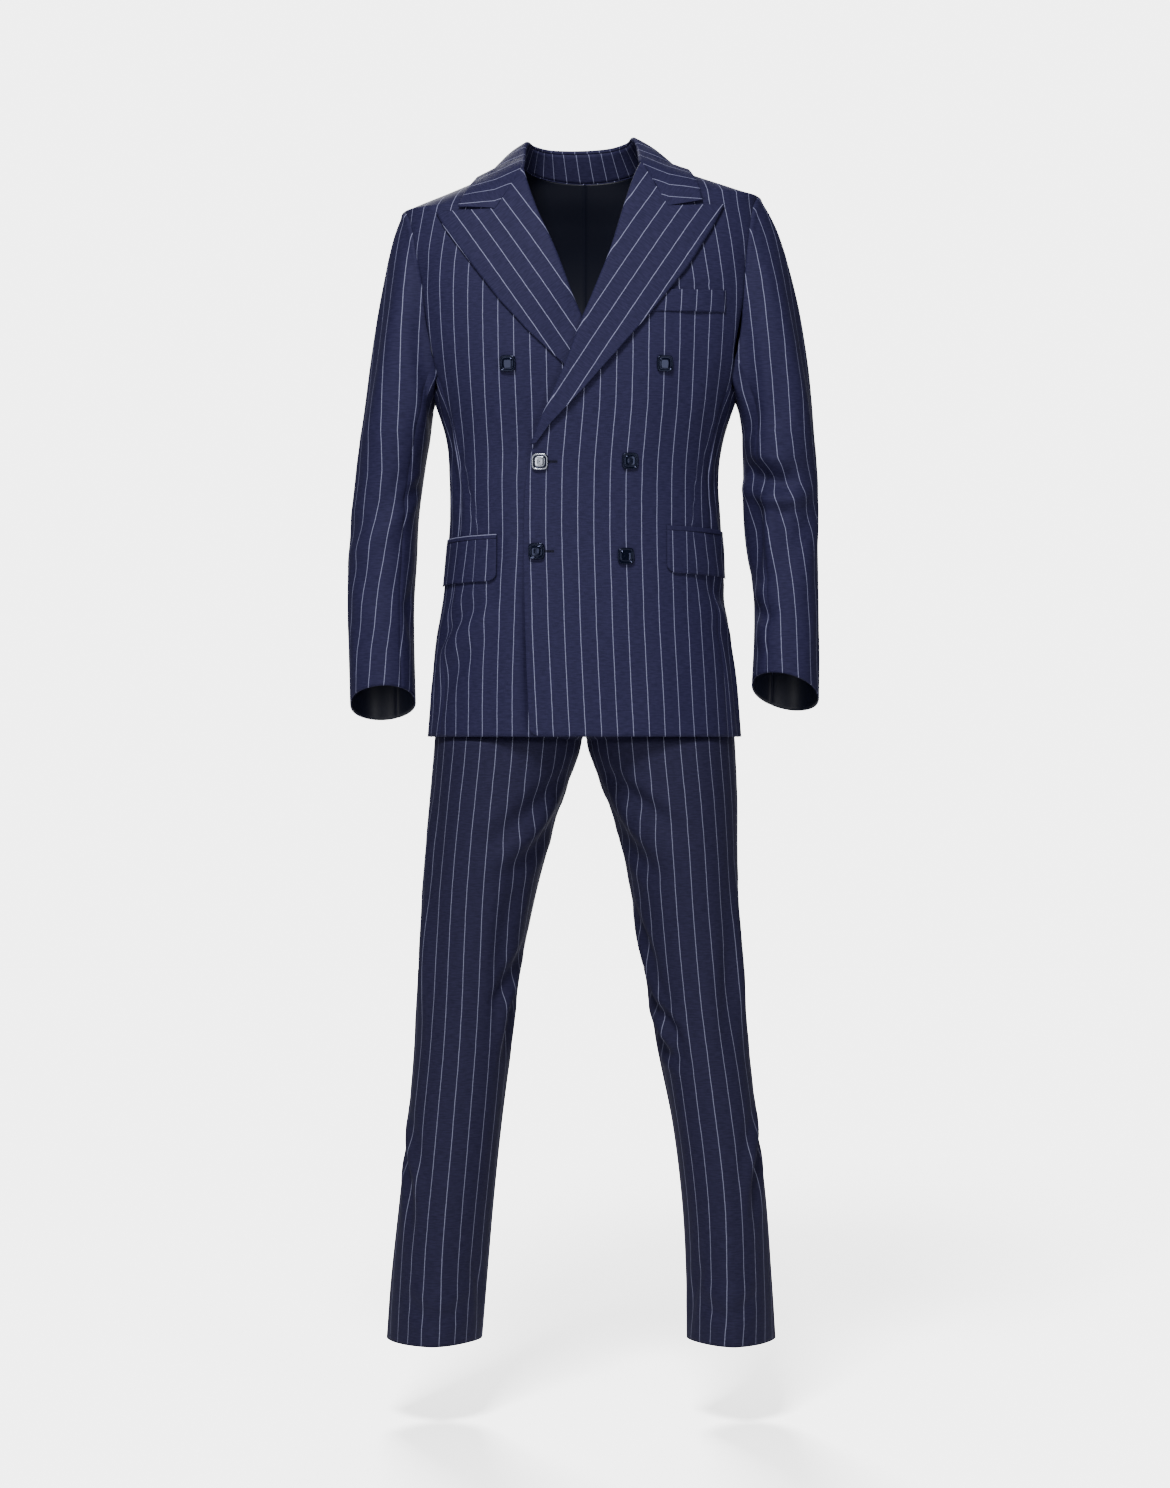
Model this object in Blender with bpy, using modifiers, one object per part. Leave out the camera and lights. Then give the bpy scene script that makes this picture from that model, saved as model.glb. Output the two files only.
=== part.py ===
"""A double-breasted two-piece suit, worn form: jacket and trousers, cut and placed as on a standing wearer.

Each cut piece is an open sheet laid on one garment form and given its wall by Solidify.
X runs to the wearer's left, the front faces -Y and Z is up, in millimetres times MM.
The origin lies between the neck ends of the two shoulder seams, where the wearer carries the jacket.
"""

import math

import bmesh
import bpy
from mathutils import Matrix, Vector

MM = 0.001

# Cloth and seams
WALL = 2.0  # fused suiting, as one wall
SEAM = 0.3  # open gap left between neighbouring pieces
ROUND = 2.35  # how square the trunk's sections are; 2 would be an ellipse
LEG_ROUND = 2.2
WAIST_RADIUS = 170.0  # sets the angle that one seam's gap takes

# Jacket heights
NECK_Z = 11.0
NAPE_Z = -2.0
HEM_Z = -706.0
UNDERARM_Z = -262.0
UNDERARM_DIP = 24.0
BREAK_Z = -350.0
SIDE_SEAM = 62.0  # degrees round the trunk from the centre front

# Shoulder seam: distance out, then its height on the wearer's left and right
SHOULDER = (
    (80.0, 11.0, 10.0),
    (110.0, 3.0, -1.0),
    (140.0, -7.0, -16.0),
    (170.0, -17.0, -29.0),
    (200.0, -27.0, -41.0),
    (217.0, -32.0, -48.0),
    (225.0, -36.0, -51.0),
)
TIP_OUT = {1: 217.0, -1: 225.0}
TIP_Z = {1: -32.0, -1: -51.0}
SLEEVE_HEAD_Z = -100.0  # the trunk form is widest here, inside the sleeve head

# Trunk: height, half width on the left and on the right, depth in front and behind
TRUNK = (
    (60.0, 54.0, 54.0, 36.0, 50.0),
    (22.0, 62.0, 62.0, 40.0, 56.0),
    (11.0, 80.0, 80.0, 48.0, 66.0),
    (-25.0, 194.0, 160.0, 70.0, 82.0),
    (-55.0, 222.0, 227.0, 84.0, 95.0),
    (-100.0, 227.0, 229.0, 104.0, 109.0),
    (-150.0, 222.0, 223.0, 116.0, 117.0),
    (-200.0, 214.0, 214.0, 122.0, 118.0),
    (-240.0, 205.0, 204.0, 125.0, 115.0),
    (-285.0, 190.0, 189.0, 125.0, 109.0),
    (-335.0, 174.0, 173.0, 121.0, 101.0),
    (-385.0, 167.0, 168.0, 117.0, 95.0),
    (-435.0, 170.0, 168.0, 117.0, 97.0),
    (-485.0, 173.0, 172.0, 119.0, 104.0),
    (-535.0, 175.0, 177.0, 122.0, 112.0),
    (-585.0, 182.0, 185.0, 125.0, 119.0),
    (-635.0, 189.0, 189.0, 127.0, 124.0),
    (-706.0, 195.0, 195.0, 130.0, 129.0),
)

# Front panel's free edge: height, then how far it lies towards its own side
FRONT_EDGE = (
    (11.0, 80.0, 80.0),
    (0.0, 71.0, 78.0),
    (-25.0, 61.0, 73.0),
    (-65.0, 49.0, 60.0),
    (-116.0, 34.0, 38.0),
    (-172.0, 12.0, 17.0),
    (-201.0, 0.0, 4.0),
    (-255.0, -20.0, -20.0),
    (-300.0, -40.0, -40.0),
    (-350.0, -61.0, -61.0),
    (-390.0, -71.0, -71.0),
    (-480.0, -74.0, -74.0),
    (-600.0, -71.0, -71.0),
    (-706.0, -66.0, -66.0),
)

# Armhole seam: share of its drop, then distance out on the front and on the back
ARMHOLE = (
    (0.0, 1.0, 1.0),
    (0.08, 0.968, 0.985),
    (0.25, 0.939, 0.955),
    (0.5, 0.909, 0.918),
    (0.75, 0.882, 0.884),
    (1.0, 0.836, 0.836),
)

# Lapel outer edge from the peak to the break: towards its own side, height
LAPEL_EDGE = {
    1: ((171, -52), (155, -85), (125, -134), (77, -195), (39, -239), (0, -283), (-41, -326), (-58, -349)),
    -1: ((182, -61), (169, -86), (134, -134), (104, -174), (68, -214), (26, -253), (-30, -312), (-58, -349)),
}
GORGE_START = {1: (66.0, -1.0), -1: (76.0, -8.0)}
GORGE_CORNER = {1: (102.0, -57.0), -1: (109.0, -60.0)}
GORGE_SHARE = 0.5  # of the lapel's columns, where the gorge seam meets the peak's edge
COLLAR_CORNER = {1: (144.0, -48.0), -1: (154.0, -56.0)}
ROLL_RADIUS = 2.7
ROLL_AHEAD = SEAM + 0.4  # from the front's free edge to the start of the roll
ROLL_FLAT = 45.0  # from the roll to where the lapel lies flat
PEAK_FADE = 0.4  # share of the lapel's length over which its top edge's bend dies out
GORGE_GAP = 2.2  # between the lapel's top and the collar's end
UNDER_DEPTH = 2.6  # how far the right front lies below the left one
UNDER_LAPEL_DEPTH = 8.8  # the same, where the folded right lapel lies between them
UNDER_START = 84.0  # how far past the left front's edge the right front starts to sink
UNDER_RUN = 80.0
COVERED_TOP_Z = -150.0  # above it the left front's edge leaves the right front
UNDER_LAPEL_Z = (-400.0, -355.0, -200.0, -130.0)  # bottom and top ramp of the deeper part

# Collar, from one gorge round the back to the other: turn in degrees from the wearer's left,
# then the fold's and the outer edge's X, Y and Z
COLLAR = (
    (-42.0, 64.0, -52.0, 4.0, 144.0, -68.0, -46.0),
    (-24.0, 69.0, -20.0, 24.0, 130.0, -34.0, -15.0),
    (0.0, 64.0, 10.0, 44.0, 110.0, 8.0, 4.0),
    (30.0, 56.0, 40.0, 42.0, 96.0, 58.0, -8.0),
    (60.0, 32.0, 60.0, 38.0, 54.0, 86.0, -12.0),
    (90.0, -6.0, 66.0, 36.0, -4.0, 92.0, -12.0),
    (120.0, -44.0, 60.0, 36.0, -60.0, 85.0, -14.0),
    (150.0, -66.0, 40.0, 38.0, -98.0, 56.0, -12.0),
    (180.0, -75.0, 10.0, 38.0, -110.0, 8.0, 0.0),
    (204.0, -77.0, -20.0, 18.0, -134.0, -34.0, -24.0),
    (222.0, -75.0, -52.0, -3.0, -154.0, -68.0, -54.0),
)
COLLAR_OFF = SEAM + WALL / 2 + 2.2  # middle of the fall's wall over the shoulders
COLLAR_BELLY = 5.0  # how far the fall bows out between its fold and its edge
COLLAR_FREE = 9.0  # this far above the shoulder seam the fall stands free
COLLAR_END = 24.0  # degrees over which the fall turns into its end at the gorge
STAND_ENDS = (-6.0, 186.0)  # degrees round the neck
STAND_FOOT = 1.2  # gap between the neckline and the stand's foot
STAND_TOP = 2.7  # gap between the stand's top and the start of the fold

# Sleeve: drop along the arm, then inner and outer distance out and front and back, on each side
SLEEVE = {
    1: (
        (-330.0, 197.0, 288.0, -66.0, 76.0),
        (-385.0, 199.0, 292.0, -58.0, 74.0),
        (-435.0, 202.0, 293.0, -54.0, 70.0),
        (-485.0, 206.0, 293.0, -56.0, 62.0),
        (-535.0, 211.0, 293.0, -60.0, 52.0),
        (-585.0, 211.0, 293.0, -63.0, 42.0),
        (-650.0, 208.0, 292.0, -66.0, 34.0),
    ),
    -1: (
        (-330.0, 192.0, 281.0, -66.0, 76.0),
        (-385.0, 201.0, 287.0, -58.0, 74.0),
        (-435.0, 207.0, 292.0, -54.0, 70.0),
        (-485.0, 209.0, 295.0, -56.0, 62.0),
        (-535.0, 212.0, 296.0, -60.0, 52.0),
        (-585.0, 212.0, 295.0, -63.0, 42.0),
        (-664.0, 210.0, 292.0, -66.0, 34.0),
    ),
}
SLEEVE_SECTION = 2.2  # how square a sleeve's sections are
CUFF_SLANT = 21.0  # how much the cuff's back and front lie below and above its middle
CUFF_LEAN = {1: 10.0, -1: 3.0}  # the same, for its outer and inner sides
SLEEVE_FRONT_SEAM = 128.0  # degrees round the sleeve from its outermost point
SLEEVE_BACK_SEAM = -112.0
SLEEVE_GAP = 0.2  # degrees each side of a sleeve seam
CAP_REACH = {1: 0.65, -1: 0.4}  # how far the sleeve head carries on before it turns down
CAP_ARRIVE = 0.9
CAP_LEAN = {1: 0.05, -1: 0.15}  # how much the arm leans out below it
HEAD_LEAVE = (0.7, -0.7)  # outwards and up, where the sleeve leaves the shoulder
FOOT_LEAVE = (0.25, -0.95)  # the same, under the arm
FORWARD_LEAVE = 0.35
HEAD_GAP, FOOT_GAP = 0.9, 3.1  # between armhole and sleeve, over the shoulder and under the arm

# Trouser legs: height, outer and inner distance out on the left and on the right, depth front and back
LEG = (
    (-640.0, 184.0, 1.0, 184.0, 1.0, 106.0, 104.0),
    (-714.0, 188.0, 3.0, 188.0, 4.0, 106.0, 106.0),
    (-785.0, 191.0, 28.0, 194.0, 28.0, 103.0, 105.0),
    (-848.0, 191.0, 47.0, 199.0, 46.0, 95.0, 97.0),
    (-910.0, 193.0, 59.0, 204.0, 62.0, 88.0, 91.0),
    (-1004.0, 199.0, 76.0, 209.0, 81.0, 79.0, 84.0),
    (-1098.0, 206.0, 92.0, 213.0, 92.0, 71.0, 80.0),
    (-1191.0, 216.0, 111.0, 221.0, 104.0, 66.0, 78.0),
    (-1285.0, 227.0, 122.0, 231.0, 114.0, 64.0, 74.0),
    (-1379.0, 234.0, 127.0, 241.0, 122.0, 65.0, 70.0),
    (-1456.0, 239.0, 128.0, 247.0, 128.0, 68.0, 68.0),
)
# Trouser seat: height, half width, depth in front and behind
SEAT = (
    (-445.0, 152.0, 98.0, 82.0),
    (-500.0, 160.0, 100.0, 94.0),
    (-560.0, 170.0, 105.0, 105.0),
    (-620.0, 179.0, 109.0, 112.0),
    (-690.0, 186.0, 112.0, 116.0),
    (-720.0, 188.0, 112.0, 116.0),
)
CROTCH_Z = -712.0
FORK_TOP_Z = -615.0  # above it the centre seams hang straight
TROUSER_HEIGHTS = (
    -484.0, -530.0, -575.0, -615.0, -645.0, -670.0, -690.0, -703.0,
    -714.0, -760.0, -830.0, -930.0, -1060.0, -1190.0, -1320.0, -1456.0,
)
WAISTBAND_TOP_Z = -446.0
WAISTBAND_WALL = 2.6

# Pockets
WELT_OUT = (68.0, 172.0)  # inner and outer end, from the centre
WELT_Z = (-160.0, -187.0)  # top and bottom at its outer end
POCKET_Z = {1: -454.5, -1: -464.5}  # mouth at its inner end
POCKET_INNER = {1: 100.0, -1: 107.0}
POCKET_OUTER_ANGLE = 84.0  # degrees round the trunk from the centre front
POCKET_FALL = 3.0  # how much lower the mouth's outer end is
POCKET_WALL = 1.8
POCKET_LIFT = SEAM + 1.5  # middle of the pocket cloth's wall over the jacket
WELT_LIFT = SEAM + 1.3
WELT_SLOPE = 3.0  # how much lower the welt's inner end is
JET_HEIGHT = 6.0
FLAP_HEIGHT = 52.0
FLAP_CORNER = 9.0

# Buttons: distance from the centre and height
BUTTON_SIZE = 20.0
BUTTON_THICK = 4.2
BUTTON_CORNER = 5.0
BUTTON_GAP = 0.5  # over the cloth, for the thread shank
BUTTONS = {
    "button_upper_right": (-93.0, -253.0),
    "button_upper_left": (97.0, -253.0),
    "button_middle_right": (-54.0, -372.0),
    "button_middle_left": (55.0, -371.0),
    "button_lower_right": (-58.0, -481.0),
    "button_lower_left": (50.0, -487.0),
}


# ---------------------------------------------------------------- numbers


def between(rows, at, column):
    """Smooth value of a column of a table whose first column falls or rises steadily."""
    if rows[0][0] > rows[-1][0]:
        rows = rows[::-1]
    keys = [row[0] for row in rows]
    at = min(max(at, keys[0]), keys[-1])
    k = max(i for i in range(len(keys) - 1) if keys[i] <= at)
    lo, hi = rows[k], rows[k + 1]
    span = hi[0] - lo[0]
    f = (at - lo[0]) / span

    def slope(i):
        before = rows[max(i - 1, 0)]
        after = rows[min(i + 1, len(rows) - 1)]
        return (after[column] - before[column]) / (after[0] - before[0])

    h1 = f * f * (3 - 2 * f)
    return (
        lo[column] * (1 - h1)
        + hi[column] * h1
        + span * slope(k) * f * (1 - f) ** 2
        - span * slope(k + 1) * f * f * (1 - f)
    )


def mix(a, b, f):
    return a + (b - a) * f


def crowded(columns, narrow):
    """Shares across a panel, with a narrow first and last column so that its edges face true."""
    inside = [k / (columns - 2) for k in range(1, columns - 2)]
    return [0.0, narrow, *inside, 1 - narrow, 1.0]


def ease(f):
    f = min(max(f, 0.0), 1.0)
    return f * f * (3 - 2 * f)


def along(points, f):
    """Point at share f of a polyline's length."""
    points = [Vector(p) for p in points]
    steps = [(b - a).length for a, b in zip(points, points[1:])]
    left = f * sum(steps)
    for start, end, step in zip(points, points[1:], steps):
        if left <= step:
            return start.lerp(end, left / step)
        left -= step
    return points[-1]


# ---------------------------------------------------------------- trunk form


def shoulder_z(out, side):
    return between(SHOULDER, out, 1 if side > 0 else 2)


def half_width(z, side):
    """Half width of the trunk; over the shoulders it follows the shoulder seam."""
    column = 1 if side > 0 else 2
    if SLEEVE_HEAD_Z < z < TIP_Z[side]:
        below = (TIP_Z[side] - z) / (TIP_Z[side] - SLEEVE_HEAD_Z)
        return mix(TIP_OUT[side], between(TRUNK, SLEEVE_HEAD_Z, column), ease(below))
    if TIP_Z[side] <= z <= NECK_Z:
        low, high = SHOULDER[0][0], TIP_OUT[side]
        for _ in range(24):
            middle = (low + high) / 2
            if shoulder_z(middle, side) > z:
                low = middle
            else:
                high = middle
        return low
    return between(TRUNK, z, column)


def depth(z, back):
    return between(TRUNK, z, 4 if back else 3)


def side_of(x):
    return 1 if x >= 0 else -1


def on_front(x, z, back=False):
    """Point of the trunk's front, or of its back, at x and z."""
    q = min((abs(x) / half_width(z, side_of(x))) ** ROUND, 1.0)
    y = depth(z, back) * (1 - q) ** (1 / ROUND)
    return Vector((x, y if back else -y, z))


def at_angle(angle, z, side):
    """Point of the trunk at an angle in degrees from the centre front, on one side."""
    s, c = math.sin(math.radians(angle)), math.cos(math.radians(angle))
    r = (abs(s) ** ROUND + abs(c) ** ROUND) ** (-1 / ROUND)
    return Vector((side * half_width(z, side) * r * s, -depth(z, c < 0) * r * c, z))


def outward(x, z, back=False):
    """Unit normal of the trunk's front or back at x and z."""
    e = 1.5
    across = on_front(x + e, z, back) - on_front(x - e, z, back)
    up = on_front(x, z + e, back) - on_front(x, z - e, back)
    normal = across.cross(up) if not back else up.cross(across)
    return normal.normalized()


def under_depth(x, z):
    """How far the right front lies below the trunk form, because the left front covers it."""
    low, lower, upper, high = UNDER_LAPEL_Z
    edge = between(FRONT_EDGE, min(z, COVERED_TOP_Z), 1)
    covered = ease((x - edge + UNDER_START) / UNDER_RUN)
    folded = ease((z - low) / (lower - low)) * ease((high - z) / (high - upper))
    return covered * mix(UNDER_DEPTH, UNDER_LAPEL_DEPTH, folded)


def cloth_point(x, z, side, lift=0.0):
    """Point of one front's outer face, lifted off it along its normal."""
    sunk = under_depth(x, z) if side < 0 else 0.0
    return on_front(x, z) + outward(x, z) * (lift - sunk)


# ---------------------------------------------------------------- making meshes


def material(name, colour, roughness, metallic=0.0):
    made = bpy.data.materials.new(name)
    made.use_nodes = True
    shader = made.node_tree.nodes["Principled BSDF"]
    shader.inputs["Base Color"].default_value = (*colour, 1.0)
    shader.inputs["Roughness"].default_value = roughness
    shader.inputs["Metallic"].default_value = metallic
    return made


def sheet(name, rows, look, wall=WALL, offset=-1.0):
    """Open sheet through rows of points, with its wall given by Solidify."""
    mesh = bpy.data.meshes.new(name)
    wide = len(rows[0])
    points = [Vector(p) * MM for row in rows for p in row]
    faces = []
    for j in range(len(rows) - 1):
        for i in range(wide - 1):
            k = j * wide + i
            faces.append((k, k + wide, k + wide + 1, k + 1))
    mesh.from_pydata(points, [], faces)
    mesh.materials.append(look)
    piece = bpy.data.objects.new(name, mesh)
    COLLECTION.objects.link(piece)
    solid = piece.modifiers.new("wall", "SOLIDIFY")
    solid.thickness = wall * MM
    solid.offset = offset
    solid.use_even_offset = False
    return piece


def face_out(rows, side):
    """Rows reversed across on the wearer's right, so that both sides' sheets face out."""
    return rows if side > 0 else [row[::-1] for row in rows]


# ---------------------------------------------------------------- jacket body

FRONT_COLUMNS, BACK_COLUMNS, SIDE_COLUMNS = 10, 8, 5
NARROW = 0.012  # share of a panel taken by its narrow first and last column
SIDE_NARROW = 0.03
SLEEVE_NARROW = 0.02
UPPER_ROWS, LOWER_ROWS = 9, 8  # above and below the underarm
TOP_CROWDING = 1.7  # rows lie closer together over the shoulder
RIDGE_ROW = 0.005  # a first narrow row, so that the shoulder seam's edges face up
RIDGE_FADE = 0.16  # share of the drop over which rows keep the shoulder seam's curve
RIDGE_GAP = SEAM * 0.7  # each side of the shoulder seam
UPPER_SHARES = [0.0, RIDGE_ROW] + [(k / UPPER_ROWS) ** TOP_CROWDING for k in range(1, UPPER_ROWS + 1)]
LOWER_HEIGHTS = [mix(UNDERARM_Z, HEM_Z, k / LOWER_ROWS) for k in range(1, LOWER_ROWS + 1)]


def armhole_out(share, side, back):
    """Distance out of the armhole seam at a share of its drop."""
    return TIP_OUT[side] * between(ARMHOLE, share, 2 if back else 1)


def body_side_out(z, side):
    """Distance out of the side seam below the armhole."""
    angle = math.radians(SIDE_SEAM)
    s, c = math.sin(angle), math.cos(angle)
    r = (s**ROUND + c**ROUND) ** (-1 / ROUND)
    return half_width(z, side) * r * s


def panel_side_out(z, side, back):
    """Where a front or a back ends: at the armhole, and below it at the side seam."""
    if z < UNDERARM_Z:
        return body_side_out(z, side) - SEAM / 2
    share = (TIP_Z[side] - z) / (TIP_Z[side] - UNDERARM_Z)
    at_underarm = body_side_out(UNDERARM_Z, side) - SEAM / 2
    fit = at_underarm - armhole_out(1.0, side, back)
    return armhole_out(share, side, back) + fit * ease(share)


def on_ridge(x, side, gap):
    """Point of the shoulder seam, gap in front of it or behind it."""
    return Vector((x, gap, shoulder_z(abs(x), side)))


def body_heights(top_in, top_out):
    """Inner and outer height of each row of a front or a back."""
    upper = [(mix(top_in, UNDERARM_Z, v), mix(top_out, UNDERARM_Z, v)) for v in UPPER_SHARES]
    return upper + [(z, z) for z in LOWER_HEIGHTS]


def panel_z(row, heights, u, follow):
    """Height of a grid point; the first rows follow the curve of the shoulder seam."""
    inner, outer = heights
    share = UPPER_SHARES[row] if row < len(UPPER_SHARES) else 1.0
    return mix(inner, outer, u) + follow * max(0.0, 1 - share / RIDGE_FADE) ** 2


def front_places(side, row, heights, shares):
    """Places (x, z) along one row of a front, from its free edge to its side."""
    column = 1 if side > 0 else 2
    inner = between(FRONT_EDGE, heights[0], column)
    outer = panel_side_out(heights[1], side, False)
    places = []
    for u in shares:
        straight = mix(NECK_Z, TIP_Z[side], u)
        follow = shoulder_z(mix(SHOULDER[0][0], TIP_OUT[side], u), side) - straight
        places.append((side * mix(inner, outer, u), panel_z(row, heights, u, follow)))
    return places


def jacket_front(side, look):
    rows = []
    for j, heights in enumerate(body_heights(NECK_Z, TIP_Z[side])):
        places = front_places(side, j, heights, crowded(FRONT_COLUMNS, NARROW))
        if j == 0:
            rows.append([on_ridge(x, side, -RIDGE_GAP) for x, _ in places])
        else:
            rows.append([cloth_point(x, z, side) for x, z in places])
    return sheet(f"jacket_front_{SIDE_NAME[side]}", face_out(rows, side), look)


def neckline_z(out):
    """Height of the back neckline at a distance from the centre back seam."""
    return mix(NAPE_Z, NECK_Z, (out / SHOULDER[0][0]) ** 2)


def jacket_back(side, look):
    """Half back, from the neckline and the shoulder seam to the hem."""
    rows = []
    for j, heights in enumerate(body_heights(NAPE_Z, TIP_Z[side])):
        outer = panel_side_out(heights[1], side, True)
        row = []
        for u in crowded(BACK_COLUMNS, NARROW):
            at_top = u * TIP_OUT[side]
            on_seam = at_top >= SHOULDER[0][0]
            top = shoulder_z(at_top, side) if on_seam else neckline_z(at_top)
            follow = top - mix(NAPE_Z, TIP_Z[side], u)
            x = side * mix(SEAM / 2, outer, u)
            if j == 0 and on_seam:
                row.append(on_ridge(x, side, RIDGE_GAP))
            else:
                row.append(on_front(x, panel_z(j, heights, u, follow), True))
        rows.append(row)
    return sheet(f"jacket_back_{SIDE_NAME[side]}", face_out(rows, -side), look)


def jacket_side(side, look):
    """Side panel under the arm, between the front's side seam and the back's."""
    gap = math.degrees(SEAM / 2 / WAIST_RADIUS)
    angles = [mix(SIDE_SEAM + gap, 180 - SIDE_SEAM - gap, u) for u in crowded(SIDE_COLUMNS, SIDE_NARROW)]
    top = []
    for angle in angles:
        off = (angle - 90) / (90 - SIDE_SEAM)
        top.append(at_angle(angle, UNDERARM_Z - UNDERARM_DIP * (1 - min(off * off, 1.0)), side))
    rows = [top] + [[at_angle(angle, z, side) for angle in angles] for z in LOWER_HEIGHTS]
    return sheet(f"jacket_side_{SIDE_NAME[side]}", face_out(rows, side), look)


# ---------------------------------------------------------------- lapels and collar

LAPEL_COLUMNS = 6
TURN_STEPS = 4
LEAST_ROW = 4.0  # least height of the lapel's first row
AHEAD = 6.0  # from the roll to the place that gives the direction across the lapel
LAPEL_LIFT = {1: 4.3, -1: 2.7}  # middle of the lapel's wall over the cloth; the left clears the welt


def lapel_shares(side):
    """Shares down the roll, one at each row of the front whose edge the lapel leaves."""
    top = GORGE_START[side][1]
    rows = body_heights(NECK_Z, TIP_Z[side])
    heights = [inner for inner, _ in rows if BREAK_Z < inner < top - LEAST_ROW]
    return [0.0] + [(top - z) / (top - BREAK_Z) for z in heights] + [1.0]


def lapel_places(side, t, s):
    """Place (out, z) on a lapel: t from the gorge to the break, s from the roll to the outer edge."""
    column = 1 if side > 0 else 2
    top = GORGE_START[side]
    roll_z = mix(top[1], BREAK_Z, t)
    roll = Vector((between(FRONT_EDGE, roll_z, column), roll_z))
    edge = along(LAPEL_EDGE[side], t)
    corner = Vector(GORGE_CORNER[side])
    start = Vector((between(FRONT_EDGE, top[1], column), top[1]))
    tip = Vector(LAPEL_EDGE[side][0])
    bend = corner - start.lerp(tip, GORGE_SHARE)
    tent = s / GORGE_SHARE if s < GORGE_SHARE else (1 - s) / (1 - GORGE_SHARE)
    fade = max(0.0, 1 - t / PEAK_FADE) ** 2
    return roll.lerp(edge, s) + bend * tent * fade


def lapel_row(side, t):
    """Section of a lapel: out of the front's edge, round the roll and over the front."""
    roll = lapel_places(side, t, 0.0)
    width = (lapel_places(side, t, 1.0) - roll).length
    normal = outward(side * roll.x, roll.y)
    base = cloth_point(side * roll.x, roll.y, side)
    ahead = lapel_places(side, t, min(AHEAD / width, 1.0))
    across = (cloth_point(side * ahead.x, ahead.y, side) - base).normalized()
    across = (across - normal * across.dot(normal)).normalized()
    row = []
    for k in range(TURN_STEPS + 1):
        a = math.radians(mix(-90, 90, k / TURN_STEPS))
        forward = -ROLL_AHEAD - ROLL_RADIUS * math.cos(a)
        height = -WALL / 2 + ROLL_RADIUS * (1 + math.sin(a))
        row.append(base + across * forward + normal * height)
    for k in range(1, LAPEL_COLUMNS + 1):
        s = k / LAPEL_COLUMNS
        place = lapel_places(side, t, s)
        rolled = 2 * ROLL_RADIUS - WALL / 2
        lift = mix(rolled, LAPEL_LIFT[side], ease(s * width / ROLL_FLAT))
        row.append(cloth_point(side * place.x, place.y, side, lift))
    return row


def lapel(side, look):
    rows = [lapel_row(side, t) for t in lapel_shares(side)]
    return sheet(f"lapel_{SIDE_NAME[side]}", face_out(rows, side), look, offset=0.0)


def cleared(p, lift):
    """The point, moved out where it lies lower over the jacket than lift."""
    side = side_of(p.x)
    ridge = shoulder_z(max(abs(p.x), SHOULDER[0][0]), side)
    if p.z > ridge + COLLAR_FREE:
        return p
    z = min(p.z, ridge - 1.0)
    back = p.y > 0
    base = on_front(p.x, z, True) if back else cloth_point(p.x, z, side)
    normal = outward(p.x, z, back)
    return p + normal * max(0.0, lift - (p - base).dot(normal))


COLLAR_COLUMNS = 6
END_TURNS = (0.0, 4.0, 10.0, 17.0, 25.0, 34.0, 44.0, 60.0, 82.0, 107.0)
COLLAR_TURNS = [COLLAR[0][0] + turn for turn in END_TURNS]
COLLAR_TURNS += [90.0] + [COLLAR[-1][0] - turn for turn in reversed(END_TURNS)]


def collar_frame(turn):
    """Fold point, outer edge point and the fold's direction at a turn round the neck."""
    fold = Vector([between(COLLAR, turn, c) for c in (1, 2, 3)])
    edge = Vector([between(COLLAR, turn, c) for c in (4, 5, 6)])
    ahead = Vector([between(COLLAR, turn + 1, c) for c in (1, 2, 3)])
    behind = Vector([between(COLLAR, turn - 1, c) for c in (1, 2, 3)])
    return fold, edge, (ahead - behind).normalized()


def gorge_row(side):
    """The collar's end: along the gorge seam beside the lapel, then its free end."""
    row = lapel_row(side, 0.0)[: TURN_STEPS + 1 + COLLAR_COLUMNS // 2]
    start, corner = Vector(GORGE_START[side]), Vector(GORGE_CORNER[side])
    seam = (corner - start).normalized()
    apart = Vector((-side * seam.y, 0, seam.x)) * GORGE_GAP
    row = [p + apart for p in row]
    end = Vector(COLLAR_CORNER[side])
    for k in range(1, COLLAR_COLUMNS // 2 + 1):
        place = corner.lerp(end, 2 * k / COLLAR_COLUMNS)
        row.append(cloth_point(side * place.x, place.y, side, COLLAR_OFF) + apart)
    return row


def collar_row(turn):
    """Section of the collar's fall: up inside the neck, round the fold and down outside."""
    first, last = COLLAR[0][0], COLLAR[-1][0]
    fold, edge, run = collar_frame(turn)
    across = (edge - fold).normalized()
    away = across.cross(run)
    if away.z < 0:
        away = -away
    row = []
    for k in range(TURN_STEPS + 1):
        a = math.radians(mix(-90, 90, k / TURN_STEPS))
        row.append(fold - across * ROLL_RADIUS * math.cos(a) + away * ROLL_RADIUS * (math.sin(a) - 1))
    for k in range(1, COLLAR_COLUMNS + 1):
        s = k / COLLAR_COLUMNS
        p = fold.lerp(edge, s) + away * COLLAR_BELLY * math.sin(math.pi * s)
        row.append(cleared(p, COLLAR_OFF))
    near_end = ease(1 - min(turn - first, last - turn) / COLLAR_END)
    end = gorge_row(1 if turn < 90 else -1)
    row = [p.lerp(q, near_end) for p, q in zip(row, end)]
    fall = TURN_STEPS + 1
    if near_end < 1:
        row[fall:] = [cleared(p, COLLAR_OFF) for p in row[fall:]]
    return row


def collar(look):
    rows = [collar_row(turn) for turn in COLLAR_TURNS]
    return sheet("collar_fall", rows, look, offset=0.0)


STAND_ROWS = 14


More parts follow.
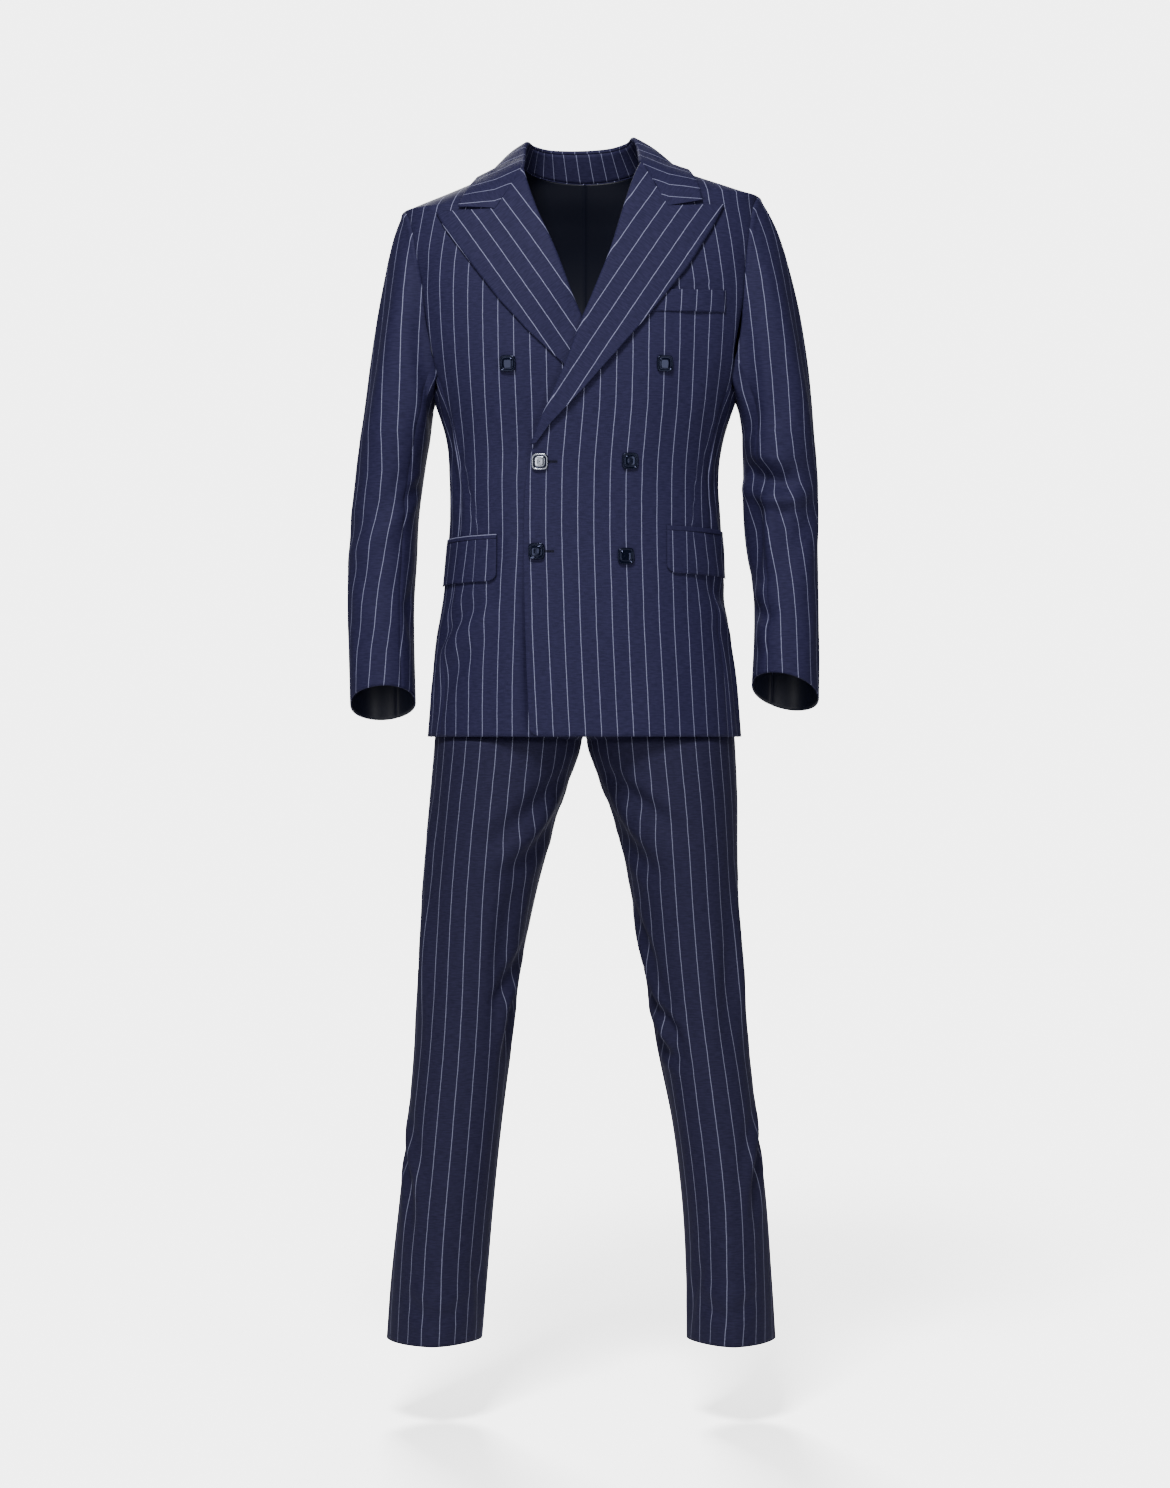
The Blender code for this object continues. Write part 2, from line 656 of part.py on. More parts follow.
def neck_seam(turn):
    """Point of the jacket's neckline at a turn round the neck."""
    side = 1 if turn < 90 else -1
    past = -turn if side > 0 else turn - 180
    if past > 0:
        z = mix(NECK_Z, GORGE_START[side][1], past / -COLLAR[0][0])
        return on_front(side * between(FRONT_EDGE, z, 1 if side > 0 else 2), z)
    out = SHOULDER[0][0] * math.cos(math.radians(turn))
    return on_front(out, neckline_z(out), True)


def collar_stand(look):
    """Stand that rises from the neckline to the inside of the collar's fold."""
    rows = []
    for j in range(STAND_ROWS + 1):
        turn = mix(*STAND_ENDS, j / STAND_ROWS)
        top = collar_row(turn)[0]
        foot = neck_seam(turn)
        up = (top - foot).normalized()
        foot, top = foot + up * STAND_FOOT, top - up * STAND_TOP
        rows.append([foot, foot.lerp(top, 0.5), top])
    return sheet("collar_stand", rows, look, offset=0.0)


# ---------------------------------------------------------------- sleeves

TOP_SLEEVE_COLUMNS, UNDER_SLEEVE_COLUMNS = 11, 6
CAP_ROWS, TUBE_ROWS = 5, 6


def armhole_point(turn, side):
    """Point of the armhole seam, at a turn in degrees from its top: forward is positive."""
    low = UNDERARM_Z - UNDERARM_DIP
    z = mix(TIP_Z[side], low, (1 - math.cos(math.radians(turn))) / 2)
    back = turn < 0 or turn > 180
    if z > UNDERARM_Z:
        return on_front(side * panel_side_out(z, side, back), z, back)
    span = math.sqrt(max(0.0, 1 - (UNDERARM_Z - z) / UNDERARM_DIP))
    half = (90 - SIDE_SEAM) * span
    return at_angle(90 + half if back else 90 - half, z, side)


def sleeve_ring(turn, z, side):
    """Point of the sleeve below the armpit, at a turn from its outermost point."""
    table = SLEEVE[side]
    inner, outer, front, rear = (between(table, z, c) for c in (1, 2, 3, 4))
    c, s = math.cos(math.radians(turn)), math.sin(math.radians(turn))
    r = (abs(c) ** SLEEVE_SECTION + abs(s) ** SLEEVE_SECTION) ** (-1 / SLEEVE_SECTION)
    x = (inner + outer) / 2 + (outer - inner) / 2 * r * c
    y = (front + rear) / 2 - (rear - front) / 2 * r * s
    to_cuff = (table[0][0] - z) / (table[0][0] - table[-1][0])
    z += (CUFF_SLANT * s - CUFF_LEAN[side] * c) * to_cuff**2
    return Vector((side * x, y, z))


def sleeve_point(turn, t, side):
    """Point of a sleeve: t runs 0 to 1 down the cap and 1 to 2 down the tube."""
    table = SLEEVE[side]
    if t >= 1:
        return sleeve_ring(turn, mix(table[0][0], table[-1][0], t - 1), side)
    start = armhole_point(turn, side)
    end = sleeve_ring(turn, table[0][0], side)
    low = (1 - math.cos(math.radians(turn))) / 2
    ahead = math.sin(math.radians(turn))
    out, up = (mix(a, b, low) for a, b in zip(HEAD_LEAVE, FOOT_LEAVE))
    leave = Vector((side * out, -FORWARD_LEAVE * ahead, up)).normalized()
    span = (end - start).length
    start = start + leave * mix(HEAD_GAP, FOOT_GAP, low)
    leave = leave * span * CAP_REACH[side]
    arrive = Vector((side * CAP_LEAN[side], 0, -1)) * span * CAP_ARRIVE
    return (
        start * (2 * t**3 - 3 * t**2 + 1)
        + leave * (t**3 - 2 * t**2 + t)
        + end * (3 * t**2 - 2 * t**3)
        + arrive * (t**3 - t**2)
    )


def sleeve(side, part, first, last, columns, look):
    rows = []
    turns = [mix(first + SLEEVE_GAP, last - SLEEVE_GAP, u) for u in crowded(columns, SLEEVE_NARROW)]
    for j in range(CAP_ROWS + TUBE_ROWS + 1):
        t = j / CAP_ROWS if j <= CAP_ROWS else 1 + (j - CAP_ROWS) / TUBE_ROWS
        rows.append([sleeve_point(turn, t, side) for turn in turns])
    return sheet(f"sleeve_{part}_{SIDE_NAME[side]}", face_out(rows, -side), look)


# ---------------------------------------------------------------- pockets and buttons

POCKET_COLUMNS, FLAP_ROWS, WELT_COLUMNS = 7, 4, 5
CORNER_STEPS = 4


def wrap_point(angle, z, side, lift):
    """Point lifted off the trunk form at an angle from the centre front."""
    e = 0.5
    across = at_angle(angle + e, z, side) - at_angle(angle - e, z, side)
    up = at_angle(angle, z + e, side) - at_angle(angle, z - e, side)
    normal = across.cross(up).normalized() * side
    return at_angle(angle, z, side) + normal * lift


def angle_of(out, z, side):
    """Angle from the centre front of a point of the trunk at a distance out."""
    q = (out / half_width(z, side)) ** ROUND
    return math.degrees(math.atan((q / (1 - q)) ** (1 / ROUND)))


def pocket_strip(name, side, top, height, corner, rows_down, look):
    """Strip of cloth on the front and round the side, along the pocket's mouth."""
    rows = []
    for j in range(rows_down + 1):
        v = j / rows_down
        row = []
        for i in range(POCKET_COLUMNS + 1):
            u = i / POCKET_COLUMNS
            z = POCKET_Z[side] + top - POCKET_FALL * u - height * v
            inset = corner * max(0.0, 1 - (1 - v) * height / corner) ** 2 if corner else 0.0
            first = angle_of(POCKET_INNER[side] + inset, z, side)
            row.append(wrap_point(mix(first, POCKET_OUTER_ANGLE, u), z, side, POCKET_LIFT))
        rows.append(row)
    return sheet(name, face_out(rows, side), look, wall=POCKET_WALL, offset=0.0)


def pockets(side, look):
    name = SIDE_NAME[side]
    pocket_strip(f"pocket_jet_{name}", side, JET_HEIGHT, JET_HEIGHT, 0, 1, look)
    pocket_strip(f"pocket_flap_{name}", side, -SEAM, FLAP_HEIGHT, FLAP_CORNER, FLAP_ROWS, look)


def chest_welt(look):
    rows = []
    for height in WELT_Z:
        row = []
        for i in range(WELT_COLUMNS + 1):
            u = i / WELT_COLUMNS
            row.append(cloth_point(mix(*WELT_OUT, u), height - WELT_SLOPE * (1 - u), 1, WELT_LIFT))
        rows.append(row)
    return sheet("chest_welt", rows, look, wall=POCKET_WALL, offset=0.0)


def button(name, look):
    """Rounded square button, just off the cloth on its thread shank."""
    x, z = BUTTONS[name]
    side = 1 if name.endswith("left") or x > between(FRONT_EDGE, z, 1) else -1
    normal = outward(x, z)
    centre = cloth_point(x, z, side, BUTTON_GAP + BUTTON_THICK / 2)
    mesh = bmesh.new()
    bmesh.ops.create_cube(mesh, size=1.0)
    bmesh.ops.scale(mesh, vec=(BUTTON_SIZE, BUTTON_SIZE, BUTTON_THICK), verts=mesh.verts)
    upright = [e for e in mesh.edges if abs(e.verts[0].co.z - e.verts[1].co.z) > 1]
    bmesh.ops.bevel(
        mesh, geom=upright, offset=BUTTON_CORNER, segments=CORNER_STEPS, affect="EDGES", profile=0.5
    )
    turn = normal.to_track_quat("Z", "Y").to_matrix().to_4x4()
    turn.translation = centre
    mesh.transform(Matrix.Scale(MM, 4) @ turn)
    data = bpy.data.meshes.new(name)
    mesh.to_mesh(data)
    mesh.free()
    data.materials.append(look)
    COLLECTION.objects.link(bpy.data.objects.new(name, data))


# ---------------------------------------------------------------- trousers

TROUSER_COLUMNS, WAISTBAND_COLUMNS = 7, 12
TROUSER_GAP = 0.002  # share of a panel left open at each seam
CENTRE_GAP = 0.2  # from the middle to the centre seam
BAND_END = 0.15  # degrees from the middle to the waistband's end


def seat_point(angle, z, side):
    """Point of the trouser seat at an angle from the centre front."""
    s, c = math.sin(math.radians(angle)), math.cos(math.radians(angle))
    r = (abs(s) ** LEG_ROUND + abs(c) ** LEG_ROUND) ** (-1 / LEG_ROUND)
    deep = between(SEAT, z, 3 if c < 0 else 2)
    return Vector((side * between(SEAT, z, 1) * r * s, -deep * r * c, z))


def leg_point(turn, z, side, back):
    """Point of one leg: turn runs from its outermost side, 0, to its inner side, 180."""
    base = 1 if side > 0 else 3
    outer, inner = between(LEG, z, base), between(LEG, z, base + 1)
    deep = between(LEG, z, 6 if back else 5)
    c, s = math.cos(math.radians(turn)), math.sin(math.radians(turn))
    r = (abs(c) ** LEG_ROUND + abs(s) ** LEG_ROUND) ** (-1 / LEG_ROUND)
    x = (outer + inner) / 2 + (outer - inner) / 2 * r * c
    return Vector((side * x, (deep if back else -deep) * r * s, z))


def trouser_point(u, z, side, back):
    """Point of a trouser panel: u runs from the side seam to the centre seam or the inseam."""
    angle = 90 + 90 * u if back else 90 - 90 * u
    fallen = (FORK_TOP_Z - z) / (FORK_TOP_Z - CROTCH_Z)
    hung = math.sqrt(1 - min(max(fallen, 0.0), 1.0) ** 2)
    p = leg_point(180 * u, z, side, back).lerp(seat_point(angle, z, side), hung)
    if abs(p.x) < CENTRE_GAP:
        p.x = side * CENTRE_GAP
    return p


def trouser_panel(side, back, look):
    rows = []
    shares = [mix(TROUSER_GAP, 1 - TROUSER_GAP, u) for u in crowded(TROUSER_COLUMNS, NARROW)]
    for z in TROUSER_HEIGHTS:
        rows.append([trouser_point(u, z, side, back) for u in shares])
    part = "back" if back else "front"
    turned = side if back else -side
    return sheet(f"trouser_{part}_{SIDE_NAME[side]}", face_out(rows, turned), look)


def waistband(side, look):
    rows = []
    angles = [mix(BAND_END, 180 - BAND_END, i / WAISTBAND_COLUMNS) for i in range(WAISTBAND_COLUMNS + 1)]
    for z in (WAISTBAND_TOP_Z, TROUSER_HEIGHTS[0] + 2 * SEAM):
        rows.append([seat_point(angle, z, side) for angle in angles])
    return sheet(f"waistband_{SIDE_NAME[side]}", face_out(rows, side), look, wall=WAISTBAND_WALL)


# ---------------------------------------------------------------- build

SIDE_NAME = {1: "left", -1: "right"}

for old in list(bpy.data.objects):
    bpy.data.objects.remove(old)
COLLECTION = bpy.data.collections.new("double_breasted_suit")
bpy.context.scene.collection.children.link(COLLECTION)

WOOL = material("navy_pinstripe_wool", (0.022, 0.025, 0.062), 0.85)
LAPEL_WOOL = material("navy_lapel_wool", (0.028, 0.031, 0.078), 0.85)
BUTTON_ENAMEL = material("black_enamel_button", (0.012, 0.013, 0.025), 0.18)

for side in (1, -1):
    jacket_front(side, WOOL)
    jacket_side(side, WOOL)
    jacket_back(side, WOOL)
    lapel(side, LAPEL_WOOL)
    sleeve(side, "top", SLEEVE_BACK_SEAM, SLEEVE_FRONT_SEAM, TOP_SLEEVE_COLUMNS, WOOL)
    sleeve(side, "under", SLEEVE_FRONT_SEAM, 360 + SLEEVE_BACK_SEAM, UNDER_SLEEVE_COLUMNS, WOOL)
    pockets(side, WOOL)
    trouser_panel(side, False, WOOL)
    trouser_panel(side, True, WOOL)
    waistband(side, WOOL)
collar(LAPEL_WOOL)
collar_stand(LAPEL_WOOL)
chest_welt(WOOL)
for name in BUTTONS:
    button(name, BUTTON_ENAMEL)
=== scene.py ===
"""Looks of a double-breasted pinstripe suit: cloth panels with folds and stripes, stitching, buttons.

Each panel is a fine sheet on the same garment form as its solid, with folds pressed into it.
Lengths are millimetres times MM; X is the wearer's left, the front faces -Y and Z is up.
"""

import math

import bmesh
import bpy
import numpy as np
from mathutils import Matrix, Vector, noise


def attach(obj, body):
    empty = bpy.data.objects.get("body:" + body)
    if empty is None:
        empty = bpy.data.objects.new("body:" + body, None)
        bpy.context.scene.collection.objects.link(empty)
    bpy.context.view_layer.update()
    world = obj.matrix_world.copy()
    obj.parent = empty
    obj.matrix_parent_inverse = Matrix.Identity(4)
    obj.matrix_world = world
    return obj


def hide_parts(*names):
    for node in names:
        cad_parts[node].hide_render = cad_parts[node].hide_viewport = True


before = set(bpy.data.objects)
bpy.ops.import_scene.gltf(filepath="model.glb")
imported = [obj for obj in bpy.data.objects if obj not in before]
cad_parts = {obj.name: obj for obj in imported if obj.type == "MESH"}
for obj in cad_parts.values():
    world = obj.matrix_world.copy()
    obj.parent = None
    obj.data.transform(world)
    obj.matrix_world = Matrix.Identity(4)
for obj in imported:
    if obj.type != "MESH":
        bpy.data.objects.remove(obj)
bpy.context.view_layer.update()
MM = 0.001
SIDE_NAME = {1: "left", -1: "right"}  # the wearer's
COLUMN = {1: 1, -1: 2}  # a side's column in a table that has one for each

# Cloth and seams
WALL = 2.0  # fused suiting, as one wall
PANEL_WALL = 1.6  # the cloth that is seen, with its lining
SEAM = 0.3  # open gap left between neighbouring pieces
ROUND = 2.35  # how square the trunk's sections are; 2 would be an ellipse
LEG_ROUND = 2.2  # the same, for the seat and the legs
WAIST_RADIUS = 170.0  # sets the angle that one seam's gap takes

# Jacket heights
NECK_Z = 11.0
NAPE_Z = -2.0
HEM_Z = -706.0
UNDERARM_Z = -262.0
UNDERARM_DIP = 24.0
BREAK_Z = -350.0
SIDE_SEAM = 62.0  # degrees round the trunk from the centre front

# Shoulder seam: distance out, then its height on the wearer's left and right
SHOULDER = (
    (80.0, 11.0, 10.0),
    (110.0, 3.0, -1.0),
    (140.0, -7.0, -16.0),
    (170.0, -17.0, -29.0),
    (200.0, -27.0, -41.0),
    (217.0, -32.0, -48.0),
    (225.0, -36.0, -51.0),
)
TIP_OUT = {1: 217.0, -1: 225.0}
TIP_Z = {1: -32.0, -1: -51.0}
SLEEVE_HEAD_Z = -100.0  # the trunk form is widest here, inside the sleeve head

# Trunk: height, half width on the left and on the right, depth in front and behind
TRUNK = (
    (60.0, 54.0, 54.0, 36.0, 50.0),
    (22.0, 62.0, 62.0, 40.0, 56.0),
    (11.0, 80.0, 80.0, 48.0, 66.0),
    (-25.0, 194.0, 160.0, 70.0, 82.0),
    (-55.0, 222.0, 227.0, 84.0, 95.0),
    (-100.0, 227.0, 229.0, 104.0, 109.0),
    (-150.0, 222.0, 223.0, 116.0, 117.0),
    (-200.0, 214.0, 214.0, 122.0, 118.0),
    (-240.0, 205.0, 204.0, 125.0, 115.0),
    (-285.0, 190.0, 189.0, 125.0, 109.0),
    (-335.0, 174.0, 173.0, 121.0, 101.0),
    (-385.0, 167.0, 168.0, 117.0, 95.0),
    (-435.0, 170.0, 168.0, 117.0, 97.0),
    (-485.0, 173.0, 172.0, 119.0, 104.0),
    (-535.0, 175.0, 177.0, 122.0, 112.0),
    (-585.0, 182.0, 185.0, 125.0, 119.0),
    (-635.0, 189.0, 189.0, 127.0, 124.0),
    (-706.0, 195.0, 195.0, 130.0, 129.0),
)

# Front panel's free edge: height, then how far it lies towards its own side
FRONT_EDGE = (
    (11.0, 80.0, 80.0),
    (0.0, 71.0, 78.0),
    (-25.0, 61.0, 73.0),
    (-65.0, 49.0, 60.0),
    (-116.0, 34.0, 38.0),
    (-172.0, 12.0, 17.0),
    (-201.0, 0.0, 4.0),
    (-255.0, -20.0, -20.0),
    (-300.0, -40.0, -40.0),
    (-350.0, -61.0, -61.0),
    (-390.0, -71.0, -71.0),
    (-480.0, -74.0, -74.0),
    (-600.0, -71.0, -71.0),
    (-706.0, -66.0, -66.0),
)

# Armhole seam: share of its drop, then how far out it lies in front and behind, as a share of
# how far out the shoulder's tip is
ARMHOLE = (
    (0.0, 1.0, 1.0),
    (0.08, 0.968, 0.985),
    (0.25, 0.939, 0.955),
    (0.5, 0.909, 0.918),
    (0.75, 0.882, 0.884),
    (1.0, 0.836, 0.836),
)

# Lapel outer edge from the peak to the break: towards its own side, height
LAPEL_EDGE = {
    1: (
        (171, -52), (155, -85), (125, -134), (77, -195),
        (39, -239), (0, -283), (-41, -326), (-58, -349),
    ),
    -1: (
        (182, -61), (169, -86), (134, -134), (104, -174),
        (68, -214), (26, -253), (-30, -312), (-58, -349),
    ),
}  # fmt: skip
GORGE_START = {1: (66.0, -1.0), -1: (76.0, -8.0)}
GORGE_CORNER = {1: (102.0, -57.0), -1: (109.0, -60.0)}
GORGE_SHARE = 0.5  # of the lapel's columns, where the gorge seam meets the peak's edge
COLLAR_CORNER = {1: (144.0, -48.0), -1: (154.0, -56.0)}
ROLL_RADIUS = 2.7
ROLL_AHEAD = SEAM + 0.4  # from the front's free edge to the start of the roll
ROLL_FLAT = 45.0  # from the roll to where the lapel lies flat
PEAK_FADE = 0.4  # share of the lapel's length over which its top edge's bend dies out
UNDER_DEPTH = 2.6  # how far the right front lies below the left one
UNDER_LAPEL_DEPTH = 8.8  # the same, where the folded right lapel lies between them
UNDER_START = 84.0  # how far past the left front's edge the right front starts to sink
UNDER_RUN = 80.0  # the distance over which it sinks
COVERED_TOP_Z = -150.0  # above it the left front's edge leaves the right front
UNDER_LAPEL_Z = (-400.0, -355.0, -200.0, -130.0)  # bottom and top ramp of the deeper part

# Collar, from one gorge round the back to the other: turn in degrees from the wearer's left,
# then the fold's and the outer edge's X, Y and Z
COLLAR = (
    (-42.0, 64.0, -52.0, 4.0, 144.0, -68.0, -46.0),
    (-24.0, 69.0, -20.0, 24.0, 130.0, -34.0, -15.0),
    (0.0, 64.0, 10.0, 44.0, 110.0, 8.0, 4.0),
    (30.0, 56.0, 40.0, 42.0, 96.0, 58.0, -8.0),
    (60.0, 32.0, 60.0, 38.0, 54.0, 86.0, -12.0),
    (90.0, -6.0, 66.0, 36.0, -4.0, 92.0, -12.0),
    (120.0, -44.0, 60.0, 36.0, -60.0, 85.0, -14.0),
    (150.0, -66.0, 40.0, 38.0, -98.0, 56.0, -12.0),
    (180.0, -75.0, 10.0, 38.0, -110.0, 8.0, 0.0),
    (204.0, -77.0, -20.0, 18.0, -134.0, -34.0, -24.0),
    (222.0, -75.0, -52.0, -3.0, -154.0, -68.0, -54.0),
)
COLLAR_OFF = SEAM + WALL / 2 + 2.2  # middle of the fall's wall over the shoulders
COLLAR_BELLY = 5.0  # how far the fall bows out between its fold and its edge
COLLAR_FREE = 9.0  # this far above the shoulder seam the fall stands free
COLLAR_END = 24.0  # degrees over which the fall turns into its end at the gorge
STAND_ENDS = (-6.0, 186.0)  # degrees round the neck

# Sleeve below the armpit: height, inner and outer distance out, how far forward its front and its
# back lie
SLEEVE = {
    1: (
        (-330.0, 197.0, 288.0, -66.0, 76.0),
        (-385.0, 199.0, 292.0, -58.0, 74.0),
        (-435.0, 202.0, 293.0, -54.0, 70.0),
        (-485.0, 206.0, 293.0, -56.0, 62.0),
        (-535.0, 211.0, 293.0, -60.0, 52.0),
        (-585.0, 211.0, 293.0, -63.0, 42.0),
        (-650.0, 208.0, 292.0, -66.0, 34.0),
    ),
    -1: (
        (-330.0, 192.0, 281.0, -66.0, 76.0),
        (-385.0, 201.0, 287.0, -58.0, 74.0),
        (-435.0, 207.0, 292.0, -54.0, 70.0),
        (-485.0, 209.0, 295.0, -56.0, 62.0),
        (-535.0, 212.0, 296.0, -60.0, 52.0),
        (-585.0, 212.0, 295.0, -63.0, 42.0),
        (-664.0, 210.0, 292.0, -66.0, 34.0),
    ),
}
SLEEVE_SECTION = 2.2  # how square a sleeve's sections are
CUFF_SLANT = 21.0  # how much the cuff's back and front lie below and above its middle
CUFF_LEAN = {1: 10.0, -1: 3.0}  # the same, for its outer and inner sides
SLEEVE_FRONT_SEAM = 128.0  # degrees round the sleeve from its outermost point
SLEEVE_BACK_SEAM = -112.0
CAP_REACH = {1: 0.65, -1: 0.4}  # how far the sleeve head carries on before it turns down
CAP_ARRIVE = 0.9  # how strongly it then points down the arm
CAP_LEAN = {1: 0.05, -1: 0.15}  # how much the arm leans out below it
HEAD_LEAVE = (0.7, -0.7)  # outwards and up, where the sleeve leaves the shoulder
FOOT_LEAVE = (0.25, -0.95)  # the same, under the arm
FORWARD_LEAVE = 0.35  # forwards in front of the arm, and backwards behind it

# Trouser legs: height, outer and inner distance out on the left and on the right, depth in front
# and behind
LEG = (
    (-640.0, 184.0, 1.0, 184.0, 1.0, 106.0, 104.0),
    (-714.0, 188.0, 3.0, 188.0, 4.0, 106.0, 106.0),
    (-785.0, 191.0, 28.0, 194.0, 28.0, 103.0, 105.0),
    (-848.0, 191.0, 47.0, 199.0, 46.0, 95.0, 97.0),
    (-910.0, 193.0, 59.0, 204.0, 62.0, 88.0, 91.0),
    (-1004.0, 199.0, 76.0, 209.0, 81.0, 79.0, 84.0),
    (-1098.0, 206.0, 92.0, 213.0, 92.0, 71.0, 80.0),
    (-1191.0, 216.0, 111.0, 221.0, 104.0, 66.0, 78.0),
    (-1285.0, 227.0, 122.0, 231.0, 114.0, 64.0, 74.0),
    (-1379.0, 234.0, 127.0, 241.0, 122.0, 65.0, 70.0),
    (-1456.0, 239.0, 128.0, 247.0, 128.0, 68.0, 68.0),
)
# Trouser seat: height, half width, depth in front and behind
SEAT = (
    (-445.0, 152.0, 98.0, 82.0),
    (-500.0, 160.0, 100.0, 94.0),
    (-560.0, 170.0, 105.0, 105.0),
    (-620.0, 179.0, 109.0, 112.0),
    (-690.0, 186.0, 112.0, 116.0),
    (-720.0, 188.0, 112.0, 116.0),
)
CROTCH_Z = -712.0
FORK_TOP_Z = -615.0  # above it the centre seams hang straight
WAISTBAND_TOP_Z = -446.0

# Pockets
WELT_OUT = (68.0, 172.0)  # the chest welt's inner and outer end, from the centre
WELT_Z = (-160.0, -187.0)  # top and bottom at its outer end
POCKET_Z = {1: -454.5, -1: -464.5}  # mouth at its inner end
POCKET_INNER = {1: 100.0, -1: 107.0}
POCKET_OUTER_ANGLE = 84.0  # degrees round the trunk from the centre front
POCKET_FALL = 3.0  # how much lower the mouth's outer end is
WELT_SLOPE = 3.0  # how much lower the welt's inner end is
JET_HEIGHT = 6.0
FLAP_HEIGHT = 52.0
FLAP_CORNER = 9.0  # radius of the flap's lower inner corner

BUTTON_SIZE = 20.0
# Buttons: distance from the centre and height
BUTTONS = {
    "button_upper_right": (-93.0, -253.0),
    "button_upper_left": (97.0, -253.0),
    "button_middle_right": (-54.0, -372.0),
    "button_middle_left": (55.0, -371.0),
    "button_lower_right": (-58.0, -481.0),
    "button_lower_left": (50.0, -487.0),
}


# ---------------------------------------------------------------- numbers


def between(rows, at, column):
    """Smooth value of a column of a table whose first column falls or rises steadily."""
    if rows[0][0] > rows[-1][0]:
        rows = rows[::-1]
    keys = [row[0] for row in rows]
    at = min(max(at, keys[0]), keys[-1])
    k = max(i for i in range(len(keys) - 1) if keys[i] <= at)
    lo, hi = rows[k], rows[k + 1]
    span = hi[0] - lo[0]
    f = (at - lo[0]) / span

    def slope(i):
        before = rows[max(i - 1, 0)]
        after = rows[min(i + 1, len(rows) - 1)]
        return (after[column] - before[column]) / (after[0] - before[0])

    h1 = f * f * (3 - 2 * f)
    return (
        lo[column] * (1 - h1)
        + hi[column] * h1
        + span * slope(k) * f * (1 - f) ** 2
        - span * slope(k + 1) * f * f * (1 - f)
    )


def mix(a, b, f):
    return a + (b - a) * f


def ease(f):
    """Soft step from 0 to 1."""
    f = min(max(f, 0.0), 1.0)
    return f * f * (3 - 2 * f)


def cos_sin(angle):
    a = math.radians(angle)
    return math.cos(a), math.sin(a)


def square_reach(c, s, square):
    """How far out a rounded square of half size 1 lies in the direction c, s."""
    return (abs(c) ** square + abs(s) ** square) ** (-1 / square)


def distances(points, axis=0):
    """Distance along a line or a grid of points from its start."""
    run = np.cumsum(np.linalg.norm(np.diff(points, axis=axis), axis=-1), axis=axis)
    return np.concatenate([np.zeros_like(np.take(run, [0], axis=axis)), run], axis=axis)


def along(points, f):
    """Point at share f of a polyline's length."""
    points = [Vector(p) for p in points]
    steps = [(b - a).length for a, b in zip(points, points[1:])]
    left = f * sum(steps)
    for start, end, step in zip(points, points[1:], steps):
        if left <= step:
            return start.lerp(end, left / step)
        left -= step
    return points[-1]


# ---------------------------------------------------------------- trunk form


def shoulder_z(out, side):
    return between(SHOULDER, out, COLUMN[side])


def half_width(z, side):
    """Half width of the trunk; over the shoulders it follows the shoulder seam."""
    column = COLUMN[side]
    if SLEEVE_HEAD_Z < z < TIP_Z[side]:
        below = (TIP_Z[side] - z) / (TIP_Z[side] - SLEEVE_HEAD_Z)
        return mix(TIP_OUT[side], between(TRUNK, SLEEVE_HEAD_Z, column), ease(below))
    if TIP_Z[side] <= z <= NECK_Z:
        low, high = SHOULDER[0][0], TIP_OUT[side]
        for _ in range(24):  # halved till it is exact
            middle = (low + high) / 2
            if shoulder_z(middle, side) > z:
                low = middle
            else:
                high = middle
        return low
    return between(TRUNK, z, column)


def depth(z, back):
    return between(TRUNK, z, 4 if back else 3)


def side_of(x):
    return 1 if x >= 0 else -1


def on_front(x, z, back=False):
    """Point of the trunk's front, or of its back, at x and z."""
    q = min((abs(x) / half_width(z, side_of(x))) ** ROUND, 1.0)
    y = depth(z, back) * (1 - q) ** (1 / ROUND)
    return Vector((x, y if back else -y, z))


def at_angle(angle, z, side):
    """Point of the trunk at an angle in degrees from the centre front, on one side."""
    c, s = cos_sin(angle)
    r = square_reach(c, s, ROUND)
    return Vector((side * half_width(z, side) * r * s, -depth(z, c < 0) * r * c, z))


def outward(x, z, back=False):
    """Unit normal of the trunk's front or back at x and z."""
    step = 1.5
    across = on_front(x + step, z, back) - on_front(x - step, z, back)
    up = on_front(x, z + step, back) - on_front(x, z - step, back)
    normal = across.cross(up) if not back else up.cross(across)
    return normal.normalized()


def under_depth(x, z):
    """How far the right front lies below the trunk form, because the left front covers it."""
    low, lower, upper, high = UNDER_LAPEL_Z
    edge = between(FRONT_EDGE, min(z, COVERED_TOP_Z), 1)
    covered = ease((x - edge + UNDER_START) / UNDER_RUN)
    folded = ease((z - low) / (lower - low)) * ease((high - z) / (high - upper))
    return covered * mix(UNDER_DEPTH, UNDER_LAPEL_DEPTH, folded)


def cloth_point(x, z, side, lift=0.0):
    """Point of one front's outer face, lifted off it along its normal."""
    sunk = under_depth(x, z) if side < 0 else 0.0
    return on_front(x, z) + outward(x, z) * (lift - sunk)


# ---------------------------------------------------------------- the cloth's grain

PITCH = 19.5  # between two stripes
LEG_PITCH = 19.8
DART_BLEND = 1.2  # degrees each side of the dart over which its stripes close up

